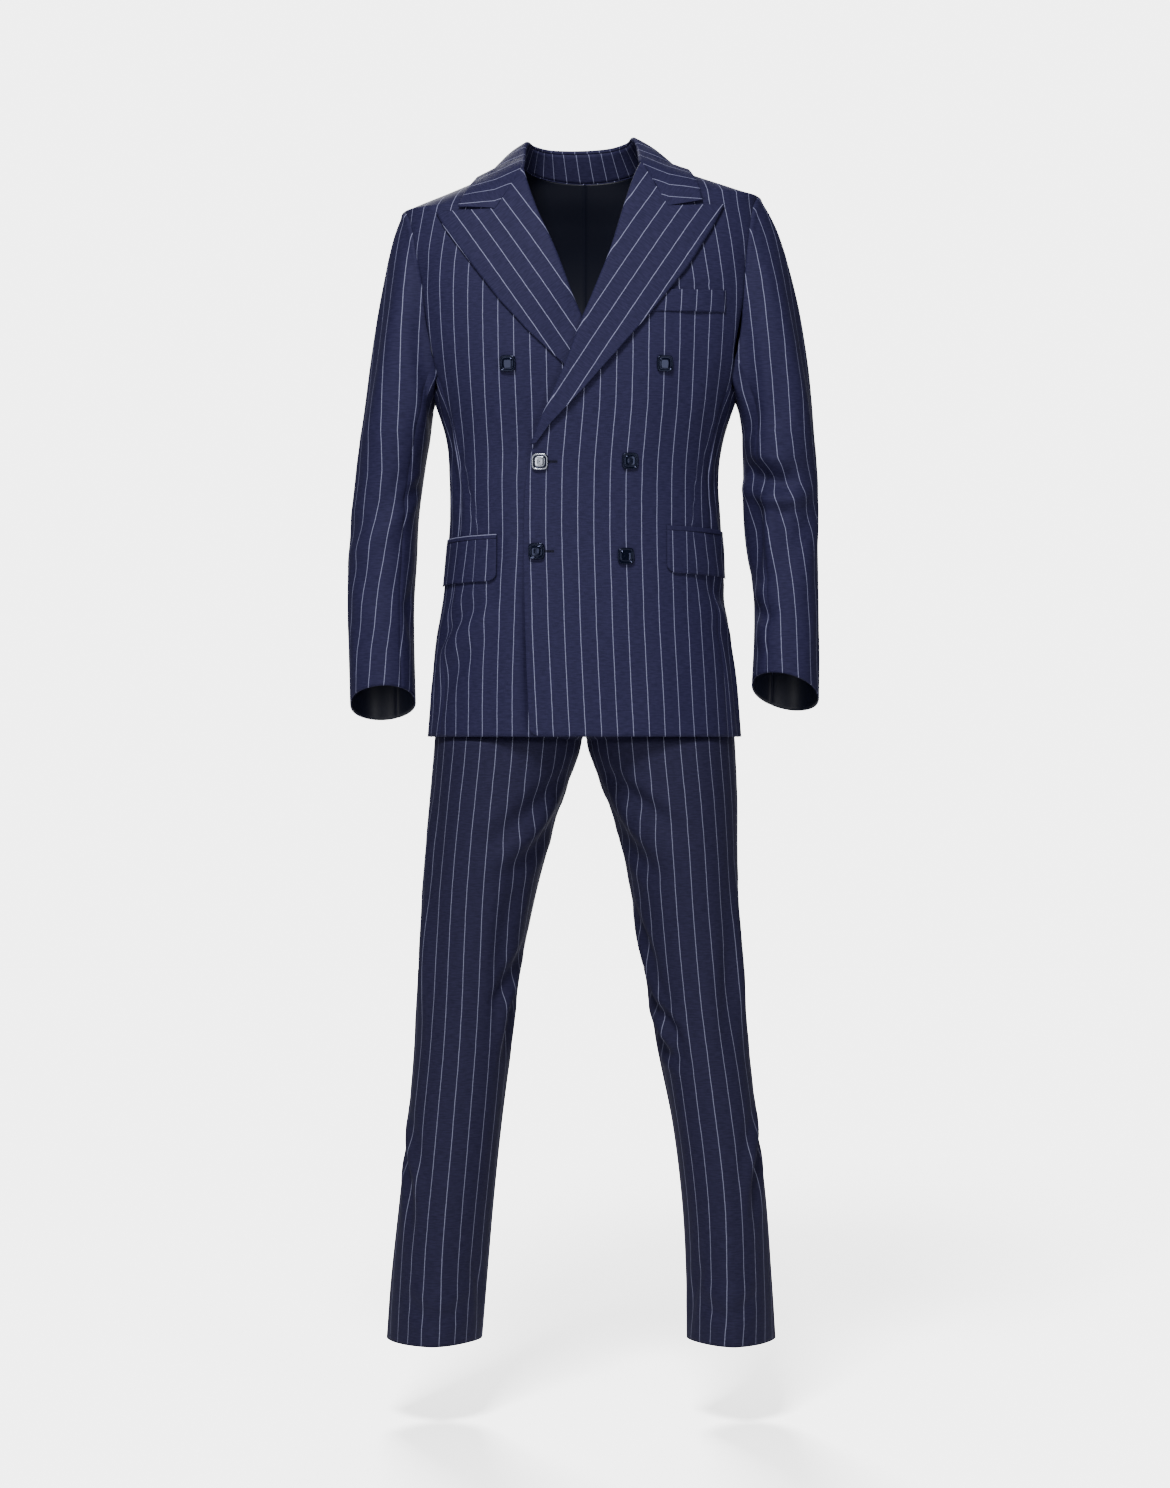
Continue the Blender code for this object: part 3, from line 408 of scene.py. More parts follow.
# One stripe of each front: height, distance out on the wearer's left and right
FRONT_GRAIN = (
    (-706.0, 21.0, 88.0),
    (-648.0, 18.0, 88.0),
    (-572.0, 14.5, 86.0),
    (-535.0, 13.5, 85.0),
    (-466.0, 11.5, 82.0),
    (-410.0, 11.5, 83.0),
    (-372.0, 12.5, 83.5),
    (-335.0, 15.5, 84.0),
    (-298.0, 18.5, 84.5),
    (-222.0, 20.0, 86.0),
    (-160.0, 19.5, 86.0),
    (-120.0, 13.5, 83.0),
    (-80.0, 6.0, 75.0),
    (-40.0, -2.0, 65.0),
    (11.0, -8.0, 55.0),
)
# Front dart: height, degrees round the trunk on the left and right, cloth it takes up
DART = (
    (-290.0, 64.0, 63.0, 0.0),
    (-335.0, 58.0, 60.0, 5.0),
    (-372.0, 54.0, 57.0, 10.0),
    (-410.0, 50.0, 53.0, 12.0),
    (-450.0, 46.0, 49.0, 11.0),
    (-470.0, 45.0, 48.0, 8.0),
    (-560.0, 44.0, 47.0, 0.0),
)
# One stripe of each trouser front: height, distance out on the left and right, spread of the stripes
LEG_GRAIN = (
    (-446.0, 98.0, 92.0, 1.0),
    (-722.0, 117.0, 108.0, 1.0),
    (-785.0, 123.0, 114.0, 1.0),
    (-848.0, 128.0, 120.0, 1.0),
    (-910.0, 132.0, 125.0, 0.99),
    (-972.0, 137.0, 128.0, 0.99),
    (-1035.0, 143.0, 131.0, 0.98),
    (-1098.0, 151.0, 135.0, 0.98),
    (-1160.0, 159.0, 140.0, 1.0),
    (-1222.0, 167.0, 145.0, 1.02),
    (-1285.0, 173.0, 150.0, 1.06),
    (-1348.0, 175.0, 154.0, 1.1),
    (-1410.0, 175.0, 156.0, 1.12),
    (-1456.0, 172.0, 158.0, 1.12),
)


def angle_of(out, z, side):
    """Angle from the centre front of a point of the trunk at a distance out."""
    q = min((out / half_width(z, side)) ** ROUND, 0.99999)
    return math.degrees(math.atan((q / (1 - q)) ** (1 / ROUND)))


def signed_angle(x, z, side):
    """Degrees round from the centre front of a point of a front; past the centre they are negative."""
    angle = angle_of(abs(x), z, side_of(x))
    return angle if x * side >= 0 else -angle


GIRTHS = {}


def girth(z, side):
    """Distance round the trunk from the centre front, at every second degree from -70 to 180."""
    key = (round(z), side)
    if key not in GIRTHS:
        angles = np.arange(-70.0, 181.0, 2.0)
        ring = [at_angle(abs(a), key[0], side if a >= 0 else -side) for a in angles]
        steps = [0.0] + [(b - a).length for a, b in zip(ring, ring[1:])]
        run = np.cumsum(steps)
        GIRTHS[key] = (angles, run - np.interp(0.0, angles, run))
    return GIRTHS[key]


def round_trunk(angle, z, side):
    """Cloth distance round the trunk, between the two whole heights next to z."""
    low = math.floor(z)
    a = np.interp(angle, *girth(low, side))
    b = np.interp(angle, *girth(low + 1, side))
    return a + (b - a) * (z - low)


def front_grain(angle, z, side):
    """Distance across the grain of a front's cloth, in millimetres from one of its stripes."""
    column = COLUMN[side]
    start = round_trunk(signed_angle(between(FRONT_GRAIN, z, column) * side, z, side), z, side)
    across = round_trunk(angle, z, side) - start
    dart = between(DART, z, column)
    taken = between(DART, z, 3) if DART[-1][0] < z < DART[0][0] else 0.0
    return across + taken * ease((angle - dart + DART_BLEND) / (2 * DART_BLEND))


# ---------------------------------------------------------------- making cloth

# Flat cut of each cloth piece in metres: width, length, area, how it is held, and what it hangs
# from or lies on
CUTS = {
    "jacket_front": (0.27, 0.72, 0.165, "hung", "jacket_back_{}"),
    "jacket_side": (0.13, 0.46, 0.052, "hung", "jacket_front_{}"),
    "jacket_back": (0.27, 0.72, 0.145, "hung", "collar_stand"),
    "lapel": (0.13, 0.38, 0.026, "folded", "jacket_front_{}"),
    "collar_fall": (0.10, 0.55, 0.032, "folded", "collar_stand"),
    "collar_stand": (0.045, 0.31, 0.0085, "folded", "jacket_back_{}"),
    "sleeve_top": (0.25, 0.66, 0.129, "hung", "jacket_front_{}"),
    "sleeve_under": (0.17, 0.48, 0.049, "hung", "sleeve_top_{}"),
    "pocket_jet": (0.12, 0.01, 0.0007, "folded", "jacket_front_{}"),
    "pocket_flap": (0.12, 0.06, 0.0063, "laid", "pocket_jet_{}"),
    "chest_welt": (0.11, 0.03, 0.003, "laid", "jacket_front_left"),
    "trouser_front": (0.32, 1.0, 0.226, "hung", "waistband_{}"),
    "trouser_back": (0.32, 1.0, 0.233, "hung", "waistband_{}"),
    "waistband": (0.41, 0.04, 0.0152, "gathered", "trouser_front_{}"),
}

STEP = 4.6  # size of the cloth's grid
EDGE_STEPS = [0.0, 0.7, 1.6, 2.8, 4.4]  # the finer steps in from an edge, for the turned seam


def steps_across(width, size):
    """Shares across a piece, with a few fine steps at each edge."""
    reach = EDGE_STEPS[-1]
    count = max(int((width - 2 * reach) / size), 2)
    inside = [mix(reach, width - reach, k / count) for k in range(1, count)]
    return [d / width for d in EDGE_STEPS + inside + [width - d for d in reversed(EDGE_STEPS)]]


def grid_normals(points):
    """Unit normals of a grid of points, rows by columns."""
    down = np.gradient(points, axis=0)
    across = np.gradient(points, axis=1)
    normals = np.cross(across, -down)
    return normals / np.maximum(np.linalg.norm(normals, axis=2, keepdims=True), 1e-9)


FOLD_ENDS = 0.7  # how blunt a fold's ends are
BESIDE = 0.35  # depth of the slight dip beside a ridge, or height of the swell beside a trough
BESIDE_AT = 1.9  # where it lies, in widths of the fold
BESIDE_SHARP = 1.6


def fold_heights(places, folds):
    """Height of the folds at flat places: each is a soft ridge or trough along a line of points,
    which dies out at both ends."""
    total = np.zeros(places.shape[:2])
    for width, height, line in folds:
        line = np.array(line, dtype=float)
        nearest = np.full(places.shape[:2], 1e9)
        share = np.zeros(places.shape[:2])
        lengths = np.linalg.norm(np.diff(line, axis=0), axis=1)
        whole = lengths.sum()
        done = 0.0
        for start, end, length in zip(line, line[1:], lengths):
            run = (end - start) / length
            off = places - start
            t = np.clip(off @ run, 0, length)
            away = np.linalg.norm(off - t[..., None] * run, axis=2)
            closer = away < nearest
            nearest = np.where(closer, away, nearest)
            share = np.where(closer, (done + t) / whole, share)
            done += length
        s = nearest / width
        taper = np.sin(np.pi * np.clip(share, 0.02, 0.98)) ** FOLD_ENDS
        beside = BESIDE * np.exp(-((s - BESIDE_AT) ** 2) * BESIDE_SHARP)
        total += height * taper * (np.exp(-(s**2)) - beside)
    return total


DRIFT_TALL = 0.45  # how slowly worn cloth's unevenness changes down the suit, against across it


def drift(points, size, height, seed):
    """Slow unevenness of worn cloth."""
    out = np.zeros(points.shape[:2])
    for j, row in enumerate(points):
        for i, p in enumerate(row):
            q = Vector((p[0] / size, p[1] / size + seed, p[2] / size * DRIFT_TALL))
            out[j, i] = noise.noise(q) * height
    return out


TURN_DEPTH, TURN_REACH = 0.9, 2.4  # how far the cloth dips at a turned edge, and how far in


def edge_turn(shape, widths, turned):
    """How far the cloth dips where it is turned into a seam: turned names the sides."""
    dip = np.zeros(shape)
    u, v, wide, tall = widths
    away = {
        "first": u[None, :] * wide,
        "last": (1 - u[None, :]) * wide,
        "top": v[:, None] * tall,
        "bottom": (1 - v[:, None]) * tall,
    }
    for name in turned:
        dip = np.maximum(dip, TURN_DEPTH * np.exp(-((away[name] / TURN_REACH) ** 2)) * np.ones(shape))
    return dip


def linked(name, data):
    """A new object in the scene."""
    made = bpy.data.objects.new(name, data)
    bpy.context.scene.collection.objects.link(made)
    return made


SURFACE = {}  # each piece's outer face, as a grid of points in millimetres


def cloth(name, points, grain, looks, wall, flip=False, centred=False):
    """A panel through a grid of points, its grain in metres on a UV map, its wall by Solidify."""
    SURFACE[name] = points
    rows, columns = points.shape[:2]
    mesh = bpy.data.meshes.new(name)
    index = np.arange(rows * columns).reshape(rows, columns)
    corners = (index[:-1, :-1], index[1:, :-1], index[1:, 1:], index[:-1, 1:])
    faces = np.stack([c.ravel() for c in corners], axis=1)
    if flip:
        faces = faces[:, ::-1]
    mesh.from_pydata((points.reshape(-1, 3) * MM).tolist(), [], faces.tolist())
    uv = mesh.uv_layers.new(name="grain")
    flat = grain.reshape(-1, 2)[faces.ravel()] * MM
    uv.data.foreach_set("uv", flat.ravel())
    for look in looks:
        mesh.materials.append(look)
    mesh.shade_smooth()
    piece = linked(name, mesh)
    solid = piece.modifiers.new("wall", "SOLIDIFY")
    solid.thickness = wall * MM
    solid.offset = 0.0 if centred else -1.0
    solid.use_even_offset = False
    solid.material_offset = len(looks) - 1
    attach(piece, "root")
    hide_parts(name)
    kind, _, end = name.rpartition("_")
    kind, end = (kind, end) if kind in CUTS else (name, "left")
    return piece


def inset(name, edge, distance, first=0.0, last=1.0):
    """Line on a piece's outer face, a distance in from one of its edges, over a share of its length:
    the first or last column, or the top or bottom row."""
    grid = SURFACE[name]
    if edge in ("top", "bottom"):
        grid = grid.transpose(1, 0, 2)
    if edge in ("last", "bottom"):
        grid = grid[:, ::-1]
    grid = grid[int(first * (len(grid) - 1)) : int(last * (len(grid) - 1)) + 1]
    line = []
    for row in grid:
        run = distances(row)
        line.append([float(np.interp(distance, run, row[:, axis])) for axis in range(3)])
    return line


def on_cloth(name, x, z):
    """Point of a piece's outer face seen from the front at x and z."""
    grid = SURFACE[name].reshape(-1, 3)
    away = np.hypot(grid[:, 0] - x, grid[:, 2] - z)
    near = np.argsort(away)[:4]
    weight = 1 / (away[near] + 0.05)
    return [x, float((grid[near, 1] * weight).sum() / weight.sum()), z]


# ---------------------------------------------------------------- folds

# Each fold: width, height (a trough is negative), and the places of its line. On the trunk a place
# is (degrees round from the centre front times TRUNK_PLACE, height); on a sleeve and a leg it is
# (degrees round from the outermost point, height).
TRUNK_PLACE = 3.0  # millimetres of flat place to a degree
DRIFT_SIZE = 90.0  # between the highs and lows of worn cloth's unevenness
TRUNK_FOLDS = {
    1: (
        (9.0, -2.2, ((190, -330), (212, -372), (205, -420))),
        (8.0, -1.8, ((225, -352), (240, -392), (240, -436))),
        (10.0, 1.8, ((172, -300), (196, -352), (214, -400))),
        (10.0, 1.8, ((196, -430), (216, -462), (244, -480))),
        (11.0, -2.6, ((135, -500), (200, -528), (273, -540))),
        (12.0, 2.4, ((150, -548), (206, -560), (246, -590))),
        (10.0, -2.2, ((206, -590), (222, -640), (224, -710))),
        (8.0, -4.5, ((248, -548), (252, -610), (250, -680), (247, -748))),
        (14.0, -1.8, ((160, -96), (196, -140), (204, -196))),
        (8.0, -4.5, ((180, -176), (184, -228), (200, -264), (224, -300))),
        (12.0, -2.2, ((206, -120), (222, -176), (226, -232))),
        (18.0, 1.6, ((84, -590), (90, -700))),
        (16.0, -1.4, ((44, -600), (40, -700))),
        (7.0, 2.4, ((-68, -510), (-62, -600), (-56, -748))),
        (14.0, -1.4, ((100, -150), (118, -230), (112, -320))),
        (16.0, 1.4, ((60, -250), (72, -330), (66, -420))),
    ),
    -1: (
        (9.0, -2.4, ((196, -300), (208, -352), (196, -410))),
        (8.0, -2.4, ((222, -342), (236, -392), (232, -440))),
        (11.0, 2.0, ((176, -310), (205, -372), (214, -440))),
        (5.0, -1.6, ((184, -360), (166, -402), (148, -432))),
        (11.0, -3.2, ((100, -526), (132, -546), (171, -564), (218, -592))),
        (13.0, 3.4, ((106, -552), (146, -580), (190, -608), (222, -650))),
        (13.0, -2.4, ((126, -596), (166, -630), (200, -690))),
        (9.0, 2.2, ((206, -560), (226, -622), (232, -700))),
        (10.0, 2.2, ((98, -430), (92, -486), (98, -540))),
        (12.0, -2.2, ((206, -120), (224, -176), (228, -232))),
        (8.0, -4.5, ((192, -176), (196, -228), (208, -270), (224, -302))),
        (14.0, -1.8, ((150, -110), (192, -150), (206, -196))),
        (8.0, -4.0, ((248, -560), (252, -620), (248, -748))),
        (6.5, -7.0, ((72, -490), (69, -528), (63, -590), (60, -650), (56, -760))),
        (10.0, 2.0, ((92, -560), (86, -640), (84, -745))),
    ),
}
WELT_MOUTH = (  # the chest pocket's opening, along the top of its welt
    4.0,
    -2.4,
    [(TRUNK_PLACE * signed_angle(x, z, 1), z) for x, z in ((74, -158.6), (122, -157.2), (172, -155.6))],
)
BACK_FOLDS = {
    1: (
        (16.0, -5.8, ((332, -292), (392, -330), (452, -344), (516, -340))),
        (12.0, -4.8, ((336, -350), (386, -374), (448, -388), (492, -384))),
        (12.0, 4.5, ((338, -320), (396, -354), (470, -366))),
        (10.0, -4.2, ((334, -404), (374, -420), (424, -424))),
        (14.0, -6.7, ((352, -106), (344, -170), (350, -240))),
        (16.0, 5.4, ((378, -100), (370, -170), (380, -250), (402, -300))),
        (20.0, -3.8, ((414, -90), (406, -160), (418, -226))),
        (22.0, 4.8, ((436, -470), (426, -590), (432, -735))),
        (18.0, -4.8, ((398, -480), (388, -600), (392, -740))),
        (18.0, -3.5, ((486, -520), (480, -630), (488, -740))),
    ),
    -1: (
        (15.0, -5.1, ((330, -306), (386, -338), (446, -346), (500, -330))),
        (12.0, -5.4, ((334, -368), (392, -386), (462, -382))),
        (12.0, 4.2, ((336, -336), (394, -362), (456, -368))),
        (10.0, -3.8, ((336, -424), (380, -436), (440, -424))),
        (14.0, -6.1, ((348, -120), (342, -180), (352, -256))),
        (16.0, 5.1, ((372, -110), (364, -180), (376, -262))),
        (18.0, -4.2, ((404, -100), (398, -170), (410, -236), (424, -280))),
        (20.0, 4.5, ((448, -486), (440, -600), (444, -735))),
        (18.0, -4.8, ((408, -470), (400, -600), (402, -740))),
        (14.0, 2.9, ((366, -560), (360, -650), (362, -740))),
    ),
}


def trunk_places(points, side):
    """Flat places of trunk points for the fold tables."""
    out = np.zeros(points.shape[:2] + (2,))
    for j, row in enumerate(points):
        for i, (x, y, z) in enumerate(row):
            z = min(max(z, HEM_Z), NECK_Z)
            a = (abs(x) / max(half_width(z, side_of(x)), 1.0)) ** ROUND
            b = (abs(y) / max(depth(z, y > 0), 1.0)) ** ROUND
            angle = math.degrees(math.atan2(a ** (1 / ROUND), b ** (1 / ROUND)))
            angle = 180 - angle if y > 0 else angle
            out[j, i] = (TRUNK_PLACE * angle * (1 if x * side >= 0 else -1), z)
    return out


def draped(points, places, folds, turn, flip, unevenness=0.8, seed=0.0):
    """The grid pushed along its normals by its folds, its turned edges and a slow unevenness."""
    normals = grid_normals(points)
    if flip:
        normals = -normals
    heights = fold_heights(places, folds) + drift(points, DRIFT_SIZE, unevenness, seed) - turn
    return points + normals * heights[..., None]


# ---------------------------------------------------------------- jacket body

HEM_CORNER = 11.0  # radius of the fronts' lower corners
UPPER_ROWS = 58
LOWER_ROWS = 96
TOP_CROWDING = 1.7  # how much closer the rows lie at the shoulder seam
RIDGE_FADE = 0.16  # share of the upper part over which the rows stop following the shoulder seam
FRONT_WIDTH, BACK_WIDTH, SIDE_WIDTH = 250.0, 230.0, 170.0  # across the cloth, for the grids
SIDE_LENGTH = 440.0
MIDDLE = 30  # column whose length stands for a panel's
SEAM_LAP = 0.35  # how far a panel's turned edge runs past its seam


def armhole_out(share, side, back):
    return TIP_OUT[side] * between(ARMHOLE, share, 2 if back else 1)


def body_side_out(z, side):
    c, s = cos_sin(SIDE_SEAM)
    return half_width(z, side) * square_reach(c, s, ROUND) * s


def panel_side_out(z, side, back):
    """Where a front or a back ends: at the armhole, and below it at the side seam."""
    if z < UNDERARM_Z:
        return body_side_out(z, side) + SEAM_LAP
    share = (TIP_Z[side] - z) / (TIP_Z[side] - UNDERARM_Z)
    fit = body_side_out(UNDERARM_Z, side) + SEAM_LAP - armhole_out(1.0, side, back)
    return armhole_out(share, side, back) + fit * ease(share)


def body_rows(top_in, top_out):
    """Share of the upper part, inner height and outer height of each row."""
    upper = [(k / UPPER_ROWS) ** TOP_CROWDING for k in range(UPPER_ROWS + 1)]
    rows = [(v, mix(top_in, UNDERARM_Z, v), mix(top_out, UNDERARM_Z, v)) for v in upper]
    for k in range(1, LOWER_ROWS + 1):
        z = mix(UNDERARM_Z, HEM_Z, k / LOWER_ROWS)
        rows.append((1.0, z, z))
    return rows


def fade_from_ridge(share):
    return max(0.0, 1 - share / RIDGE_FADE) ** 2


def jacket_front(side, looks):
    name = f"jacket_front_{SIDE_NAME[side]}"
    shares = steps_across(FRONT_WIDTH, STEP)
    points, grain = [], []
    for v, inner_z, outer_z in body_rows(NECK_Z, TIP_Z[side]):
        inner = between(FRONT_EDGE, inner_z, COLUMN[side])
        above_hem = inner_z - HEM_Z
        if above_hem < HEM_CORNER:
            inner += HEM_CORNER - math.sqrt(HEM_CORNER**2 - (HEM_CORNER - above_hem) ** 2)
        outer = panel_side_out(outer_z, side, False)
        line, flat = [], []
        for u in shares:
            straight = mix(NECK_Z, TIP_Z[side], u)
            follow = shoulder_z(mix(SHOULDER[0][0], TIP_OUT[side], u), side) - straight
            x = side * mix(inner, outer, u)
            z = mix(inner_z, outer_z, u) + follow * fade_from_ridge(v)
            if v == 0:
                line.append(Vector((x, 0.0, shoulder_z(abs(x), side))))
            else:
                line.append(cloth_point(x, z, side))
            flat.append((side * front_grain(signed_angle(x, z, side), z, side), z))
        points.append(line)
        grain.append(flat)
    points, grain = np.array(points), np.array(grain)
    rows = distances(points[:, MIDDLE])
    widths = (np.array(shares), rows / rows[-1], FRONT_WIDTH, rows[-1])
    turn = edge_turn(points.shape[:2], widths, ("last", "top"))
    folds = TRUNK_FOLDS[side] + (WELT_MOUTH,) * (side > 0)
    points = draped(points, trunk_places(points, side), folds, turn, side < 0, seed=side)
    return cloth(name, points, grain, looks, PANEL_WALL, flip=side < 0)


BACK_STRIPE = 100.0  # distance out of one stripe of the back, which hangs straight
BACK_STRIPE_TURN = 140.0  # where it lies round a section that is narrower than that
BACK_PITCHES = 5.5  # stripes between it and the line that the stripes are counted from


def neckline_z(out):
    return mix(NAPE_Z, NECK_Z, (out / SHOULDER[0][0]) ** 2)


def jacket_back(side, looks):
    name = f"jacket_back_{SIDE_NAME[side]}"
    shares = steps_across(BACK_WIDTH, STEP)
    points, grain = [], []
    for v, inner_z, outer_z in body_rows(NAPE_Z, TIP_Z[side]):
        outer = panel_side_out(outer_z, side, True)
        line, flat = [], []
        for u in shares:
            at_top = u * TIP_OUT[side]
            on_seam = at_top >= SHOULDER[0][0]
            top = shoulder_z(at_top, side) if on_seam else neckline_z(at_top)
            follow = top - mix(NAPE_Z, TIP_Z[side], u)
            x = side * mix(-SEAM_LAP, outer, u)
            z = mix(inner_z, outer_z, u) + follow * fade_from_ridge(v)
            if v == 0 and on_seam:
                line.append(Vector((x, 0.0, shoulder_z(at_top, side))))
            else:
                line.append(on_front(x, z, True))
            angle = 180 - angle_of(abs(x), z, side)
            wide = half_width(z, side) > BACK_STRIPE + 1
            stripe = 180 - angle_of(BACK_STRIPE, z, side) if wide else BACK_STRIPE_TURN
            across = round_trunk(stripe, z, side) - round_trunk(angle, z, side)
            flat.append((side * (across + BACK_PITCHES * PITCH), z))
        points.append(line)
        grain.append(flat)
    points, grain = np.array(points), np.array(grain)
    rows = distances(points[:, MIDDLE])
    widths = (np.array(shares), rows / rows[-1], BACK_WIDTH, rows[-1])
    turn = edge_turn(points.shape[:2], widths, ("first", "last", "top"))
    points = draped(points, trunk_places(points, side), BACK_FOLDS[side], turn, side > 0, seed=side + 5)
    return cloth(name, points, grain, looks, PANEL_WALL, flip=side > 0)


DIP_ROWS = 8  # rows over which the dip under the arm fades out of the side panel


def jacket_side(side, looks):
    name = f"jacket_side_{SIDE_NAME[side]}"
    lap = math.degrees(SEAM_LAP / WAIST_RADIUS)
    shares = steps_across(SIDE_WIDTH, STEP)
    angles = [mix(SIDE_SEAM - lap, 180 - SIDE_SEAM + lap, u) for u in shares]
    points, grain = [], []
    for k in range(LOWER_ROWS + 1):
        z = mix(UNDERARM_Z, HEM_Z, k / LOWER_ROWS)
        line, flat = [], []
        for angle in angles:
            off = (angle - 90) / (90 - SIDE_SEAM)
            low = z - UNDERARM_DIP * (1 - min(off * off, 1.0)) * max(0.0, 1 - k / DIP_ROWS)
            line.append(at_angle(angle, low, side))
            flat.append((side * (round_trunk(angle, low, side) - round_trunk(90.0, low, side)), low))
        points.append(line)
        grain.append(flat)
    points, grain = np.array(points), np.array(grain)
    shape = points.shape[:2]
    widths = (np.array(shares), np.linspace(0, 1, shape[0]), SIDE_WIDTH, SIDE_LENGTH)
    turn = edge_turn(shape, widths, ("first", "last", "top"))
    places = trunk_places(points, side)
    points = draped(points, places, TRUNK_FOLDS[side] + BACK_FOLDS[side], turn, side < 0, seed=side)
    return cloth(name, points, grain, looks, PANEL_WALL, flip=side < 0)


# ---------------------------------------------------------------- lapels and collar

LAPEL_ROWS = 110
LAPEL_LENGTH = 400.0
TURN_STEPS = 8  # round a roll
LAPEL_COLUMNS = 34
LAPEL_WALL = 1.5
LAPEL_LIFT = {1: 3.4, -1: 2.4}  # middle of the lapel's wall over the cloth
LAPEL_SPRING = {1: 3.2, -1: 0.0}  # how much further the outer edge springs up towards the break
SPRING_CURVE = 1.5
SPRING_START, SPRING_RISE, SPRING_END = 0.25, 0.4, 0.15  # shares of the lapel's length
AHEAD = 6.0  # how far over the cloth the way out from the roll is taken
GORGE_SEAM = 0.4  # gap between the collar's end and the lapel
LAPEL_SLANT = {1: 33.3, -1: 34.4}  # degrees from upright of the lapel's stripes
LAPEL_STRIPE = {1: 6.0, -1: 8.0}  # how far they are set across it
COLLAR_COLUMNS = 30
COLLAR_ROWS = 170
COLLAR_LENGTH = 560.0
COLLAR_STRIPE = 4.0  # how far the collar's stripes are set along it
STAND_ROWS, STAND_COLUMNS = 60, 8
STAND_STEP = (5.0, 4.0)  # cloth from row to row and from column to column
STAND_FOOT, STAND_TOP = 1.0, 0.4  # how far it runs on below the neckline and ends below the fold
LEVEL_REACH = 46.0  # degrees round the neck over which the collar's stripes turn level at its ends
LEVEL_TILT = math.radians(4)  # how far from level they still run there


def lapel_places(side, t, s):
    """Place (out, z) on a lapel: t from the gorge to the break, s from the roll to the outer edge."""
    column = COLUMN[side]
    top = GORGE_START[side]
    roll_z = mix(top[1], BREAK_Z, t)
    roll = Vector((between(FRONT_EDGE, roll_z, column), roll_z))
    edge = along(LAPEL_EDGE[side], t)
    corner = Vector(GORGE_CORNER[side])
    start = Vector((between(FRONT_EDGE, top[1], column), top[1]))
    tip = Vector(LAPEL_EDGE[side][0])
    bend = corner - start.lerp(tip, GORGE_SHARE)
    tent = s / GORGE_SHARE if s < GORGE_SHARE else (1 - s) / (1 - GORGE_SHARE)
    fade = max(0.0, 1 - t / PEAK_FADE) ** 2
    return roll.lerp(edge, s) + bend * tent * fade


def lapel_row(side, t, columns=LAPEL_COLUMNS):
    """Section of a lapel and its grain: out of the front's edge, round the roll and over the front."""
    roll = lapel_places(side, t, 0.0)
    width = max((lapel_places(side, t, 1.0) - roll).length, 1.0)
    normal = outward(side * roll.x, roll.y)
    base = cloth_point(side * roll.x, roll.y, side)
    ahead = lapel_places(side, t, min(AHEAD / width, 1.0))
    across = (cloth_point(side * ahead.x, ahead.y, side) - base).normalized()
    across = (across - normal * across.dot(normal)).normalized()
    slant = math.radians(LAPEL_SLANT[side])
    row, grain = [], []

    def laid(place, extra):
        across_grain = place.x * math.cos(slant) - place.y * math.sin(slant) + extra
        along_grain = place.x * math.sin(slant) + place.y * math.cos(slant)
        grain.append((side * (across_grain + LAPEL_STRIPE[side]), along_grain))

    for k in range(TURN_STEPS + 1):
        a = math.radians(mix(-90, 90, k / TURN_STEPS))
        forward = -ROLL_AHEAD - ROLL_RADIUS * math.cos(a)
        height = -WALL / 2 + ROLL_RADIUS * (1 + math.sin(a))
        row.append(base + across * forward + normal * height)
        laid(roll, -ROLL_RADIUS * (math.pi / 2 - a))
    for k in range(1, columns + 1):
        s = k / columns
        place = lapel_places(side, t, s)
        rolled = 2 * ROLL_RADIUS - WALL / 2
        lift = mix(rolled, LAPEL_LIFT[side], ease(s * width / ROLL_FLAT))
        sprung = ease((t - SPRING_START) / SPRING_RISE) * ease((1 - t) / SPRING_END)
        lift += LAPEL_SPRING[side] * s**SPRING_CURVE * sprung
        row.append(cloth_point(side * place.x, place.y, side, lift))
        laid(place, 0.0)
    return row, grain


def lapel(side, looks):
    name = f"lapel_{SIDE_NAME[side]}"
    made = [lapel_row(side, t) for t in steps_across(LAPEL_LENGTH, LAPEL_LENGTH / LAPEL_ROWS)]
    points = np.array([row for row, _ in made])
    grain = np.array([flat for _, flat in made])
    return cloth(name, points, grain, looks, LAPEL_WALL, flip=side < 0, centred=True)


def cleared(p, lift):
    """The point, moved out where it lies lower over the jacket than lift."""
    side = side_of(p.x)
    ridge = shoulder_z(max(abs(p.x), SHOULDER[0][0]), side)
    if p.z > ridge + COLLAR_FREE:
        return p
    z = min(p.z, ridge - 1.0)
    back = p.y > 0
    base = on_front(p.x, z, True) if back else cloth_point(p.x, z, side)
    normal = outward(p.x, z, back)
    return p + normal * max(0.0, lift - (p - base).dot(normal))


def collar_frame(turn):
    fold = Vector([between(COLLAR, turn, c) for c in (1, 2, 3)])
    edge = Vector([between(COLLAR, turn, c) for c in (4, 5, 6)])
    ahead = Vector([between(COLLAR, turn + 1, c) for c in (1, 2, 3)])
    behind = Vector([between(COLLAR, turn - 1, c) for c in (1, 2, 3)])
    return fold, edge, (ahead - behind).normalized()


def gorge_row(side):
    """The collar's end: along the gorge seam beside the lapel, then its free end."""
    half = COLLAR_COLUMNS // 2
    row = lapel_row(side, 0.0, COLLAR_COLUMNS)[0][: TURN_STEPS + 1 + half]
    start, corner = Vector(GORGE_START[side]), Vector(GORGE_CORNER[side])
    seam = (corner - start).normalized()
    apart = Vector((-side * seam.y, 0, seam.x)) * GORGE_SEAM
    row = [p + apart for p in row]
    end = Vector(COLLAR_CORNER[side])
    for k in range(1, half + 1):
        place = corner.lerp(end, k / half)
        row.append(cloth_point(side * place.x, place.y, side, COLLAR_OFF) + apart)
    return row


